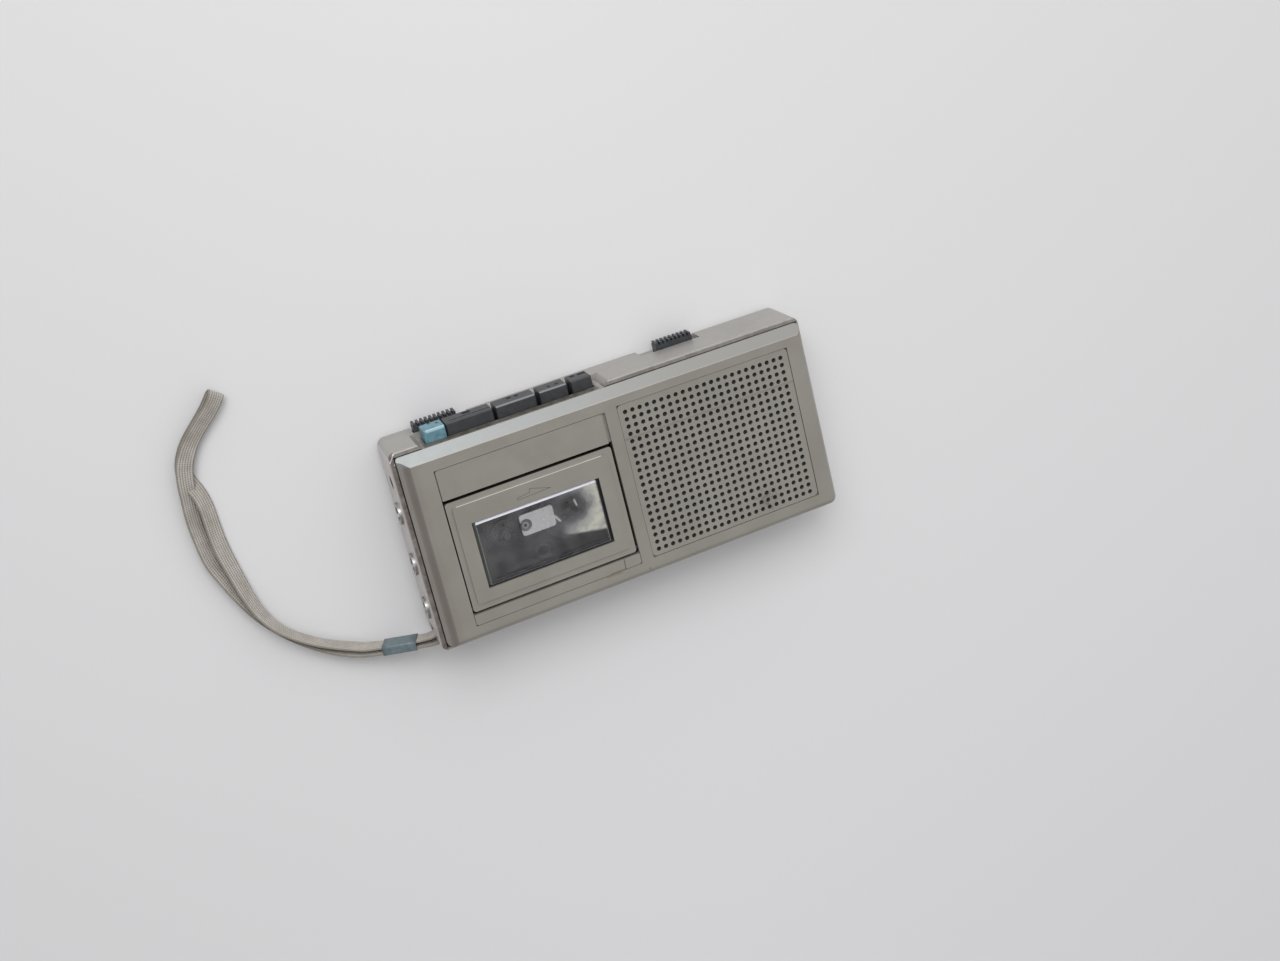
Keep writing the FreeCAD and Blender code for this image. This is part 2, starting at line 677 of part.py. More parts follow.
# Battery opening in the back, with a groove along each side for the cover's tongues
cover_left = bay_left - 0.4
cover_low = bay_low - 0.2
cover_high = bay_high - 0.2
pocket(
    tub,
    "battery_opening",
    (cover_left - cover_end_gap, tub_right + beyond),
    (-cover_low - plate_gap, -cover_high + plate_gap),
    (-beyond, back_wall + seat_gap),
)
tongue_low = (cover_thick - tongue_thick) / 2
groove_across = (cover_left - cover_end_gap, tub_right + beyond)
groove_up = (-cover_low - cover_tongue - tongue_gap, -cover_high + cover_tongue + tongue_gap)
pocket(
    tub,
    "tongue_groove",
    groove_across,
    groove_up,
    (tongue_low - tongue_gap, tongue_low + tongue_thick + tongue_gap),
)

# Corner block round the strap bar, posts for screws, deck and board, and the socket holes
corner_block = block(
    "strap_corner",
    (-cavity_left - seat_gap, -bar_x + notch_reach + 1.4),
    (-cavity_low - seat_gap, -bar_y + 4.4),
    (back_wall - seat_gap, lid_seat),
)
strap_notch = block(
    "strap_notch",
    (-tub_left - beyond, -bar_x + notch_reach),
    (-tub_low - beyond, -bar_y + 3.2),
    (bar_z - notch_tall / 2, bar_z + notch_tall / 2),
)
bar_span = (bar_z - notch_tall / 2 - bar_reach, bar_z + notch_tall / 2 + bar_reach)
bar_bore = rod("strap_bar_bore", "z", (-bar_x, -bar_y), bar_span, bar_radius + running)
posts = [corner_block]
tub_holes = [strap_notch, bar_bore]
for corner, place in screw_places.items():
    posts.append(rod(f"post_{corner}", "z", place, (back_wall - seat_gap, lid_seat), post_radius))
    tub_holes.append(rod(f"screw_way_{corner}", "z", place, (-beyond, depth), screw_shank + 0.3))
    tub_holes.append(rod(f"head_way_{corner}", "z", place, (-beyond, back_wall), screw_head + 0.2))
deck_places = {
    "low_left": (-deck_screw_left, -deck_screw_low),
    "high_left": (-deck_screw_left, deck_screw_high),
    "low_right": (-deck_screw_right, -deck_screw_low),
    "high_right": (-deck_screw_right + 1.4, deck_screw_high + 1.4),
}
for corner, place in deck_places.items():
    posts.append(rod(f"deck_post_{corner}", "z", place, (back_wall - seat_gap, deck_z), deck_post))
    hole_span = (deck_z - 5.0, deck_z + 1.0)
    tub_holes.append(
        rod(f"deck_hole_{corner}", "z", place, hole_span, deck_screw_shank + running)
    )
socket_places = {"earphone": 10.6, "microphone": -6.6, "remote": -21.6, "power": 20.9}
socket_radii = {
    "earphone": plug_radius,
    "microphone": plug_radius,
    "remote": small_plug_radius,
    "power": small_plug_radius,
}
sleeve_radii = {
    "earphone": socket_sleeve,
    "microphone": socket_sleeve,
    "remote": socket_sleeve,
    "power": socket_sleeve * 0.72,
}
for socket, up in socket_places.items():
    tub_holes.append(
        rod(
            f"{socket}_hole",
            "x",
            (up, socket_z),
            (-tub_left - 1.0, -cavity_left + 1.0),
            sleeve_radii[socket] + seat_gap,
        )
    )
tub_whole = join("rear_whole", tub, *posts)
finish("rear_cabinet", cut("rear_cabinet", tub_whole, *tub_holes))

# Plates let into the front: one over the heads and one over the door's hinge line
plate_back = insert_floor + 0.05
plate_across = (-insert_left + plate_gap, -insert_right - plate_gap)
head_across = (-insert_left + head_gap_left, -insert_right - head_gap_right)
head_plate = new_body("head_plate_body")
pad(head_plate, "head_plate", head_across, (strip_low, insert_top - plate_gap), (plate_back, depth))
soften(
    head_plate,
    "head_plate_corners",
    0.8,
    lambda edge: runs_along(edge, Vector(0, 0, 1)) and near(edge.CenterOfMass.y, insert_top - plate_gap),
)
finish("head_cover_plate", head_plate)
hinge_plate = new_body("hinge_plate_body")
pad(
    hinge_plate,
    "hinge_plate",
    plate_across,
    (-insert_low + plate_gap, -hinge_strip_top),
    (plate_back, depth),
)
soften(
    hinge_plate,
    "hinge_plate_corners",
    0.8,
    lambda edge: runs_along(edge, Vector(0, 0, 1)) and near(edge.CenterOfMass.y, -insert_low + plate_gap),
)
finish("hinge_cover_plate", hinge_plate)

# Perforated grille panel: only the holes over the speaker opening lead anywhere
grille_across = (grille_left, grille_right)
grille_up = (-grille_low, grille_top)
grille = new_body("grille_body")
grille_front = depth - grille_drop
pad(grille, "grille_sheet", grille_across, grille_up, (grille_back, grille_front))
soften(grille, "grille_corners", 1.5, lambda edge: runs_along(edge, Vector(0, 0, 1)))
grille_holes = doc.addObject("Part::Feature", "grille_holes")
columns = int((grille_right - grille_left - first_hole * 2).number / hole_pitch.number + 0.6) + 1
rows = int((grille_top + grille_low - first_row * 2).number / hole_pitch.number + 0.6) + 1
hole_solids = []
for column in range(columns):
    for row in range(rows):
        hole_at = Vector(
            grille_left.number + first_hole.number + column * hole_pitch.number,
            grille_top.number - first_row.number - row * hole_pitch.number,
            grille_back.number - 1.0,
        )
        hole_solids.append(
            Part.makeCylinder(hole_size.number / 2, grille_sheet.number + 2.0, hole_at)
        )
grille_holes.Shape = Part.makeCompound(hole_solids)
finish("grille_plate", cut("grille_plate", grille, grille_holes))

# Black cloth behind the panel, which keeps dust out of the holes
cloth_across = (grille_left + 0.3, grille_right - 0.3)
cloth_up = (-grille_low + 0.3, grille_top - 0.3)
cloth = block("cloth_sheet", cloth_across, cloth_up, (cloth_back, cloth_back + cloth_thick))
cloth_corners = rounded("cloth_corners", cloth, 1.3, lambda edge: runs_along(edge, Vector(0, 0, 1)))
finish("grille_cloth", cloth_corners)

# Cassette door: a panel with a raised middle and the window opening, on two short pins
door_left = -insert_left + door_gap_left
door_right = -insert_right - door_gap_right
door_low = -hinge_strip_top + door_gap_low
door_high = strip_low - door_gap_top
door_front = depth - door_drop
door_back = door_front - door_thick
door = new_body("door_body")
pad(door, "door_panel", (door_left, door_right), (door_low, door_high), (door_back, door_front))
soften(door, "door_corners", 0.9, lambda edge: runs_along(edge, Vector(0, 0, 1)))
pad(
    door,
    "door_middle",
    (door_left + raised_side, door_right - raised_side),
    (door_low + raised_end, door_high - raised_side),
    (door_front - seat_gap, door_front + raised),
)
soften(
    door,
    "door_middle_corners",
    0.8,
    lambda edge: runs_along(edge, Vector(0, 0, 1)) and edge.CenterOfMass.z > door_front.number + 0.05,
)
pocket(
    door,
    "window_opening",
    (-window_left, -window_right),
    (-window_low, window_top),
    (door_back - 1.0, door_front + raised),
)
door_pin_hole = rod(
    "door_pin_hole", "x", (-hinge_y, hinge_z), (door_left - 1.0, door_left + 3.0), hinge_pin + 0.02
)
door_pin_hole_right = rod(
    "door_pin_hole_right", "x", (-hinge_y, hinge_z), (door_right - 3.0, door_right + 1.0), hinge_pin + 0.02
)
finish("cassette_door", cut("cassette_door", door, door_pin_hole, door_pin_hole_right))
pin_reach = 1.9
finish(
    "door_hinge_pins",
    group(
        "door_hinge_pins",
        rod("left_pin", "x", (-hinge_y, hinge_z), (door_left - pin_reach, door_left + 2.9), hinge_pin),
        rod("right_pin", "x", (-hinge_y, hinge_z), (door_right - 2.9, door_right + pin_reach), hinge_pin),
    ),
)

# Clear window: a plug with bevelled edges and a flange behind the door panel
window_front = door_front + raised + window_proud
window = new_body("window_body")
window_edge = 0.08
pad(
    window,
    "window_plug",
    (-window_left + window_edge, -window_right - window_edge),
    (-window_low + window_edge, window_top - window_edge),
    (door_back - window_flange / 2, window_front),
)
doc.recompute()
bevel = window.newObject("PartDesign::Chamfer", "window_bevel_edges")
plug_edges = edges_where(
    window.Tip.Shape if window.Tip is not bevel else bevel.BaseFeature.Shape,
    lambda edge: near(edge.CenterOfMass.z, window_front),
)
bevel.Base = (doc.getObject("window_plug"), [f"Edge{index}" for index in plug_edges])
bind(bevel, "Size", window_bevel * 0.75)
pad(
    window,
    "window_flange",
    (-window_left - window_flange, -window_right + window_flange),
    (-window_low - window_flange, window_top + window_flange),
    (door_back - window_flange / 2, door_back - 0.02),
)
finish("door_window", window)

# Sheet-metal holder behind the door: two side rails with lips and a bar below the cassette
holder_back = door_back - holder_depth
holder_left = door_left + 1.0
holder_right = door_right - 1.0
rail_up = (-hinge_y + 0.9, 9.0)
rail_out = (holder_back, door_back - 0.02)
holder_parts = [
    block("left_rail", (holder_left, holder_left + holder_sheet), rail_up, rail_out),
    block("right_rail", (holder_right - holder_sheet, holder_right), rail_up, rail_out),
    block(
        "left_lip",
        (holder_left, holder_left + holder_sheet + holder_lip),
        rail_up,
        (holder_back, holder_back + holder_sheet),
    ),
    block(
        "right_lip",
        (holder_right - holder_sheet - holder_lip, holder_right),
        rail_up,
        (holder_back, holder_back + holder_sheet),
    ),
    block(
        "holder_bar",
        (holder_left, holder_right),
        (-hinge_y + 0.9, -hinge_y + 0.9 + holder_sheet),
        (holder_back, holder_back + holder_depth * 0.72),
    ),
]
finish("cassette_holder", join("cassette_holder", *holder_parts))

# Five keys: a cap, a stem through the bracket and a barb that stops it coming out
key_limits = {
    "record_key": (-56.7, -49.8),
    "play_key": (-49.5, -34.3),
    "rewind_key": (-33.3, -20.1),
    "forward_key": (-18.9, -9.6),
    "stop_key": (-8.3, -1.35),
}
stem_z = key_back + key_deep / 2
bracket_top = bracket_y + bracket_sheet
stem_holes = []
key_springs = []
spring_in = 1.95
spring_out = 2.35
for key, (left, right) in key_limits.items():
    cap = new_body(f"{key}_cap")
    pad(cap, f"{key}_block", (left, right), (key_foot, key_top), (key_back, key_front))
    soften(
        cap,
        f"{key}_edges",
        key_round,
        lambda edge: near(edge.CenterOfMass.y, key_top) or near(edge.CenterOfMass.z, key_front),
    )
    middle = as_size((left + right) / 2)
    stem_across = (middle - stem_wide / 2, middle + stem_wide / 2)
    stem_out = (stem_z - stem_thick / 2, stem_z + stem_thick / 2)
    stem = block(f"{key}_stem", stem_across, (stem_end, key_foot + 0.5), stem_out)
    barb = block(
        f"{key}_barb",
        (middle - stem_wide / 2 - 0.5, middle + stem_wide / 2 + 0.5),
        (stem_end, bracket_y - 0.3),
        stem_out,
    )
    pieces = [cap, stem, barb]
    if key == "play_key":
        ridge_groove = block(
            "play_ridge_groove",
            (left + 1.6, right + 1.0),
            (key_top - 0.45, key_top + 1.0),
            (key_front - 2.3, key_front - 1.7),
        )
        finish(key, cut(key, join(f"{key}_solid", *pieces), ridge_groove))
    else:
        finish(key, join(key, *pieces))
    stem_holes.append(
        block(
            f"{key}_stem_hole",
            (stem_across[0] - seat_gap, stem_across[1] + seat_gap),
            (bracket_y - 1.0, bracket_top + 1.0),
            (stem_out[0] - seat_gap, stem_out[1] + seat_gap),
        )
    )
    spring_span = (bracket_top + 0.05, key_foot - 0.05)
    key_springs.append(
        cut(
            f"{key}_spring",
            rod(f"{key}_spring_outside", "y", (middle, stem_z), spring_span, spring_out),
            rod(
                f"{key}_spring_inside",
                "y",
                (middle, stem_z),
                (bracket_top - 1.0, key_foot + 1.0),
                spring_in,
            ),
        )
    )
bracket_sheet_block = block(
    "bracket_sheet_block",
    (-keys_left - 1.2, -keys_right + 1.0),
    (bracket_y, bracket_top),
    (deck_top, lid_seat + seat_gap),
)
finish("key_bracket", cut("key_bracket", bracket_sheet_block, *stem_holes))
finish("key_springs", group("key_springs", *key_springs))

# Two ribbed sliders in notches at the back of the top, each with the part that it works
ends = {
    "pause": (-pause_left, -pause_left + pause_long),
    "volume": (volume_left, volume_left + volume_long),
}
slider_names = {"pause": "pause_slider", "volume": "volume_slider"}
worked = {"pause": "pause_switch", "volume": "volume_control"}
for control, (left, right) in ends.items():
    slider_out = (slider_z - slider_deep / 2, slider_z + slider_deep / 2)
    rib_foot = slider_top - rib_high
    pieces = [
        block(
            f"{control}_base",
            (left, right),
            (key_floor + slider_gap, rib_foot + 0.1),
            slider_out,
        )
    ]
    rib_count = int((right - left - rib_wide).number / rib_pitch.number + 0.01) + 1
    spare = (right - left - rib_wide - rib_pitch * (rib_count - 1)) / 2
    for number in range(rib_count):
        rib_left = left + spare + rib_pitch * number
        pieces.append(
            block(
                f"{control}_rib_{number}",
                (rib_left, rib_left + rib_wide),
                (rib_foot, slider_top),
                slider_out,
            )
        )
    middle = stem_middles[control]
    pieces.append(
        block(
            f"{control}_stem",
            (middle - slider_stem / 2, middle + slider_stem / 2),
            (cavity_high - 4.5, key_floor + slider_gap + 0.1),
            (slider_z - stem_half, slider_z + stem_half),
        )
    )
    finish(slider_names[control], join(slider_names[control], *pieces))
    low_end = stem_spans[control][0]
    high_end = stem_spans[control][1]
    control_body = block(
        f"{control}_can",
        (low_end - 1.8, high_end + 1.8),
        (cavity_high - 6.2, cavity_high - 0.15),
        (slider_z - 2.7, slider_z + 2.7),
    )
    control_slot = block(
        f"{control}_can_slot",
        (low_end, high_end),
        (cavity_high - 5.0, cavity_high + 1.0),
        (slider_z - stem_half - 0.2, slider_z + stem_half + 0.2),
    )
    finish(worked[control], cut(worked[control], control_body, control_slot))

# Slim speaker behind the grille, and the microphone in its rubber cup
speaker_at = (speaker_x, speaker_y)
flange_front = inner_front - seat_gap
speaker_back = inner_front - speaker_depth
basket_solid = join(
    "basket_solid",
    rod("basket_flange", "z", speaker_at, (flange_front - 0.8, flange_front), speaker_radius),
    taper(
        "basket_cup",
        speaker_at,
        (speaker_back + 1.5, flange_front - 0.7),
        magnet_radius + 2.0,
        speaker_radius - 2.0,
    ),
)
finish(
    "speaker_basket",
    cut(
        "speaker_basket",
        basket_solid,
        rod("basket_step", "z", speaker_at, (flange_front - 0.5, depth), speaker_radius - 1.4),
        taper(
            "basket_hollow",
            speaker_at,
            (speaker_back + 2.1, flange_front - 0.4),
            magnet_radius + 1.5,
            speaker_radius - 2.5,
        ),
    ),
)
finish(
    "speaker_magnet",
    rod("speaker_magnet", "z", speaker_at, (speaker_back, speaker_back + 1.45), magnet_radius),
)
cone_rim = speaker_radius - 1.6
cone_outside = taper("cone_outside", speaker_at, (flange_front - 1.5, flange_front - 0.25), 5.0, cone_rim)
cone_inside = taper("cone_inside", speaker_at, (flange_front - 1.2, flange_front + 0.05), 5.0, cone_rim)
dust_cap = rod("dust_cap", "z", speaker_at, (flange_front - 1.5, flange_front - 0.6), 5.2)
voice_coil = rod("voice_coil", "z", speaker_at, (speaker_back + 2.3, flange_front - 1.4), 4.4)
finish(
    "speaker_cone",
    join("speaker_cone", cut("cone_sheet", cone_outside, cone_inside), dust_cap, voice_coil),
)
microphone_at = (microphone_x, -microphone_y)
cup_back = inner_front - microphone_deep
finish(
    "microphone_cup",
    cut(
        "microphone_cup",
        rod("cup_outside", "z", microphone_at, (cup_back, inner_front - 0.05), microphone_radius + 1.0),
        rod("cup_inside", "z", microphone_at, (cup_back + 1.0, depth), microphone_radius + 0.05),
    ),
)
finish(
    "microphone_capsule",
    rod(
        "microphone_capsule",
        "z",
        microphone_at,
        (cup_back + 1.05, inner_front - 0.4),
        microphone_radius,
    ),
)

# Circuit board under the deck, on four pillars, with its larger components
board_z = back_wall + 1.2
board_sheet = block(
    "board_sheet",
    (-board_left, board_right),
    (-board_low, -board_high),
    (board_z, board_z + board_thick),
)
board_holes = [
    rod(f"board_hole_{corner}", "z", place, (0.0, depth), deck_post + 0.3)
    for corner, place in deck_places.items()
    if corner.startswith("low")
]
board_holes += [
    rod(f"board_post_hole_{corner}", "z", screw_places[corner], (0.0, depth), post_radius + 0.3)
    for corner in ("low_left", "low_middle")
]
board_top = board_z + board_thick
chips = [
    block("amplifier_chip", (-46.0, -34.0), (-20.0, -14.0), (board_top, board_top + 2.6)),
    block("motor_chip", (-28.0, -20.0), (-27.0, -21.5), (board_top, board_top + 2.4)),
    rod("large_capacitor", "z", (-12.0, -20.0), (board_top, board_top + 5.0), 3.2),
    rod("small_capacitor", "z", (-52.0, -14.0), (board_top, board_top + 4.6), 2.4),
    rod("output_capacitor", "z", (-31.0, -12.0), (board_top, board_top + 4.4), 2.4),
]
finish("circuit_board", cut("circuit_board", join("board_whole", board_sheet, *chips), *board_holes))
board_pillars = [
    rod(f"pillar_{number}", "z", place, (back_wall, board_z), 1.6)
    for number, place in enumerate(((-58.0, -8.0), (-34.0, -27.0), (-33.0, -8.0), (0.8, -8.0)))
]
finish("board_pillars", group("board_pillars", *board_pillars))

# Deck plate that carries the tape transport
deck_sheet_block = block(
    "deck_sheet_block", (-deck_left, -deck_right), (-deck_low, deck_high), (deck_z, deck_top)
)
bearing_radius = capstan_radius * 2.2
deck_holes = [
    rod("supply_hole", "z", (supply_x, -reel_y), (deck_z - 1, deck_top + 1), reel_shaft + running),
    rod("takeup_hole", "z", (takeup_x, -reel_y), (deck_z - 1, deck_top + 1), reel_shaft + running),
    rod("bearing_hole", "z", (-capstan_x, capstan_y), (deck_z - 1, deck_top + 1), bearing_radius + 0.02),
]
plate_screw_at = (-screw_plate_left + screw_shift, -screw_plate_mid)
deck_screw_places = dict(deck_places)
deck_screw_places["plate"] = plate_screw_at
for corner, place in deck_screw_places.items():
    deck_holes.append(
        rod(f"deck_way_{corner}", "z", place, (deck_z - 1, deck_top + 1), deck_screw_shank + 0.1)
    )
finish("deck_plate", cut("deck_plate", deck_sheet_block, *deck_holes))
deck_screws = []
plate_front_z = screw_plate_level + screw_plate_thick
for corner, place in deck_places.items():
    deck_screws.append(
        join(
            f"deck_screw_{corner}",
            rod(f"deck_shank_{corner}", "z", place, (deck_z - 4.5, deck_top + 0.2), deck_screw_shank),
            rod(f"deck_head_{corner}", "z", place, (deck_top, deck_top + 0.8), 1.3),
        )
    )
deck_screws.append(
    join(
        "plate_screw",
        rod("plate_shank", "z", plate_screw_at, (deck_z - 1.5, plate_front_z - 0.2), deck_screw_shank),
        taper("plate_head", plate_screw_at, (plate_front_z - 0.65, plate_front_z - 0.05), 0.7, 1.5),
    )
)
finish("deck_screws", group("deck_screws", *deck_screws))

# Bright plate seen through the window, on two feet
plate_left = -screw_plate_left
plate_sheet = block(
    "plate_sheet",
    (plate_left, plate_left + screw_plate_long),
    (-screw_plate_mid - screw_plate_wide / 2, -screw_plate_mid + screw_plate_wide / 2),
    (screw_plate_level, plate_front_z),
)
plate_round = rounded(
    "plate_round", plate_sheet, 0.9, lambda edge: runs_along(edge, Vector(0, 0, 1))
)
plate_foot = block(
    "plate_foot",
    (plate_left + 0.4, plate_left + 3.4),
    (-screw_plate_mid - 2.0, -screw_plate_mid + 2.0),
    (deck_top, screw_plate_level + 0.1),
)
finish(
    "bright_plate",
    cut(
        "bright_plate",
        join("plate_whole", plate_round, plate_foot),
        rod("plate_way", "z", plate_screw_at, (deck_z, depth), deck_screw_shank + 0.05),
        taper("plate_sink", plate_screw_at, (plate_front_z - 0.75, plate_front_z + 0.05), 0.65, 1.7),
    ),
)

# Reel spindles, each with a table, three splines and a pulley under the deck
table_low = deck_top + 0.3


def spindle(name, across, table_radius):
    at = (across, -reel_y)
    table_high = table_low + gear_thick
    pieces = [
        rod(f"{name}_shaft", "z", at, (reel_end, reel_tip - 0.3), reel_shaft),
        rod(f"{name}_pulley", "z", at, (reel_end, reel_end + 2.0), 3.2),
        rod(f"{name}_table", "z", at, (table_high, table_high + 0.6), table_radius),
        rod(f"{name}_hub", "z", at, (table_high, reel_tip - 1.0), reel_hub),
        taper(f"{name}_tip", at, (reel_tip - 1.0, reel_tip), reel_hub, 1.1),
    ]
    for number in range(3):
        spline = block(
            f"{name}_spline_{number}", (0.0, reel_hub + 0.7), (-0.35, 0.35), (table_high, reel_tip - 1.4)
        )
        turned = doc.addObject("Part::Compound", f"{name}_spline_turned_{number}")
        turned.Links = [spline]
        turned.Placement = Placement(Vector(), Rotation(Vector(0, 0, 1), 90 + 120 * number))
        bind(turned, "Placement.Base.x", at[0])
        bind(turned, "Placement.Base.y", at[1])
        pieces.append(turned)
    return pieces


finish("supply_spindle", join("supply_spindle", *spindle("supply", supply_x, reel_table)))
finish("takeup_spindle", join("takeup_spindle", *spindle("takeup", takeup_x, reel_hub + 1.4)))
finish(
    "takeup_gear",
    cut(
        "takeup_gear",
        rod("gear_disc", "z", (takeup_x, -reel_y), (table_low, table_low + gear_thick), gear_radius),
        rod("gear_bore", "z", (takeup_x, -reel_y), (table_low - 1, table_low + 2), reel_shaft),
    ),
)

# Capstan in its bush, with the flywheel that the belt drives from the motor's pulley
capstan_at = (-capstan_x, capstan_y)
finish(
    "capstan_shaft",
    rod("capstan_shaft", "z", capstan_at, (flywheel_z - 0.3, capstan_tip), capstan_radius),
)
bush_low = flywheel_z + flywheel_thick + 0.3
finish(
    "capstan_bush",
    cut(
        "capstan_bush",
        join(
            "bush_whole",
            rod("bush_body", "z", capstan_at, (bush_low, deck_top + 0.8), bearing_radius),
            rod("bush_collar", "z", capstan_at, (deck_z - 1.2, deck_z), bearing_radius + 1.4),
        ),
        rod("bush_bore", "z", capstan_at, (bush_low - 1, depth), capstan_radius + running),
    ),
)
wheel_high = flywheel_z + flywheel_thick
groove_z = flywheel_z + flywheel_thick / 2
groove_half = 0.7


def grooved(name, at, radius, span, bore):
    """A disc with a belt groove round its rim."""
    disc = rod(f"{name}_disc", "z", at, span, radius)
    band_span = (groove_z - groove_half, groove_z + groove_half)
    band = cut(
        f"{name}_band",
        rod(f"{name}_band_outside", "z", at, band_span, radius + 1.0),
        rod(f"{name}_band_inside", "z", at, (0.0, depth), radius - groove_deep),
    )
    return cut(name, disc, band, rod(f"{name}_bore", "z", at, (0.0, depth), bore))


finish(
    "flywheel",
    grooved("flywheel", capstan_at, flywheel_radius, (flywheel_z, wheel_high), capstan_radius),
)
motor_at = (-motor_x, motor_y)
motor_low = deck_z - 0.02 - motor_tall
motor_shaft = 0.7
finish(
    "motor",
    cut(
        "motor",
        join(
            "motor_whole",
            rod("motor_can", "z", motor_at, (motor_low, deck_z - 0.02), motor_radius),
            rod("motor_boss", "z", motor_at, (motor_low - 0.3, motor_low + 0.1), 2.0),
        ),
        rod("motor_bore", "z", motor_at, (motor_low - 1.0, motor_low + 3.0), motor_shaft + running),
    ),
)
finish(
    "motor_pulley",
    join(
        "motor_pulley",
        grooved("pulley_rim", motor_at, pulley_radius, (flywheel_z, wheel_high), 0.4),
        rod("motor_spindle", "z", motor_at, (flywheel_z, motor_low + 2.9), motor_shaft),
    ),
)

# Rubber belt: two arcs and two straight runs, from the same centres and groove radii
belt_slack = 0.12
wheel_groove = flywheel_radius.number - groove_deep.number + belt_slack
pulley_groove = pulley_radius.number - groove_deep.number + belt_slack


def belt_face(extra):
    """The flat shape inside a belt that runs at the groove radii plus extra."""
    wheel = Vector(-capstan_x.number, capstan_y.number, 0)
    pulley = Vector(-motor_x.number, motor_y.number, 0)
    big = wheel_groove + extra
    small = pulley_groove + extra
    along = pulley - wheel
    spread = math.acos((big - small) / along.Length)
    heading = math.atan2(along.y, along.x)

    def rim(centre, radius, angle):
        return centre + Vector(radius * math.cos(angle), radius * math.sin(angle), 0)

    first, second = heading + spread, heading - spread
    edges = [
        Part.Arc(
            rim(wheel, big, first), rim(wheel, big, heading + math.pi), rim(wheel, big, second)
        ).toShape(),
        Part.LineSegment(rim(wheel, big, second), rim(pulley, small, second)).toShape(),
        Part.Arc(
            rim(pulley, small, second), rim(pulley, small, heading), rim(pulley, small, first)
        ).toShape(),
        Part.LineSegment(rim(pulley, small, first), rim(wheel, big, first)).toShape(),
    ]
    return Part.Face(Part.Wire(edges))


belt = doc.addObject("Part::Feature", "drive_belt")
belt_ring = belt_face(belt_thick.number).cut(belt_face(0.0))
belt.Shape = belt_ring.extrude(Vector(0, 0, 0.9))
bind(belt, "Placement.Base.z", groove_z - 0.45)
finish("drive_belt", belt)

# Head bridge: it moves to the tape with the play key and carries heads and pinch roller
bridge_low = deck_top + 0.2
bridge_high = bridge_low + 0.6
roller_x = -capstan_x
roller_y = capstan_y + capstan_radius + roller_radius + roller_gap + head_travel
bridge_sheet = block("bridge_sheet", (-46.0, roller_x + 4.6), (13.0, 19.6), (bridge_low, bridge_high))
roller_pin = rod("roller_pin", "z", (roller_x, roller_y), (bridge_high - 0.1, head_tip + 0.6), 0.7)
roller_low = bridge_high + 0.6
finish("head_bridge", join("head_bridge", bridge_sheet, roller_pin))
record_head = block("record_head_block", (-32.8, -25.8), (12.4, 16.8), (bridge_high, head_tip))
finish(
    "record_head",
    rounded(
        "record_head",
        record_head,
        1.4,
        lambda edge: runs_along(edge, Vector(0, 0, 1)) and near(edge.CenterOfMass.y, 12.4),
    ),
)
erase_head = block("erase_head", (-41.8, -37.6), (12.6, 16.2), (bridge_high, head_tip - 0.4))
finish("erase_head", erase_head)
finish(
    "pinch_roller",
    cut(
        "pinch_roller",
        rod("roller_body", "z", (roller_x, roller_y), (roller_low, roller_low + 4.8), roller_radius),
        rod("roller_bore", "z", (roller_x, roller_y), (bridge_high, depth), 0.7 + running),
    ),
)

# Sockets along the left side, each with a bright nut outside
nut_list = []
for socket, up in socket_places.items():
    half = socket_body / 2 if socket != "power" else socket_body * 0.36
    sleeve = sleeve_radii[socket]
    body_across = (-cavity_left + 0.05, -cavity_left + socket_long)
    base = join(
        f"{socket}_whole",
        block(f"{socket}_can", body_across, (up - half, up + half), (socket_z - half, socket_z + half)),
        rod(f"{socket}_sleeve", "x", (up, socket_z), (-tub_left, -cavity_left + 0.3), sleeve),
    )
    bore_span = (-tub_left - beyond, -tub_left + socket_deep)
    bore = rod(f"{socket}_bore", "x", (up, socket_z), bore_span, socket_radii[socket])
    finish(f"{socket}_socket", cut(f"{socket}_socket", base, bore))
    if socket != "power":
        nut_span = (-tub_left - nut_thick, -tub_left)
        nut_list.append(
            cut(
                f"{socket}_nut",
                rod(f"{socket}_nut_outside", "x", (up, socket_z), nut_span, nut_radius),
                rod(
                    f"{socket}_nut_inside",
                    "x",
                    (up, socket_z),
                    (-tub_left - 2.0, -tub_left + 1.0),
                    socket_radii[socket] + 0.5,
                ),
            )
        )
finish("socket_nuts", group("socket_nuts", *nut_list))

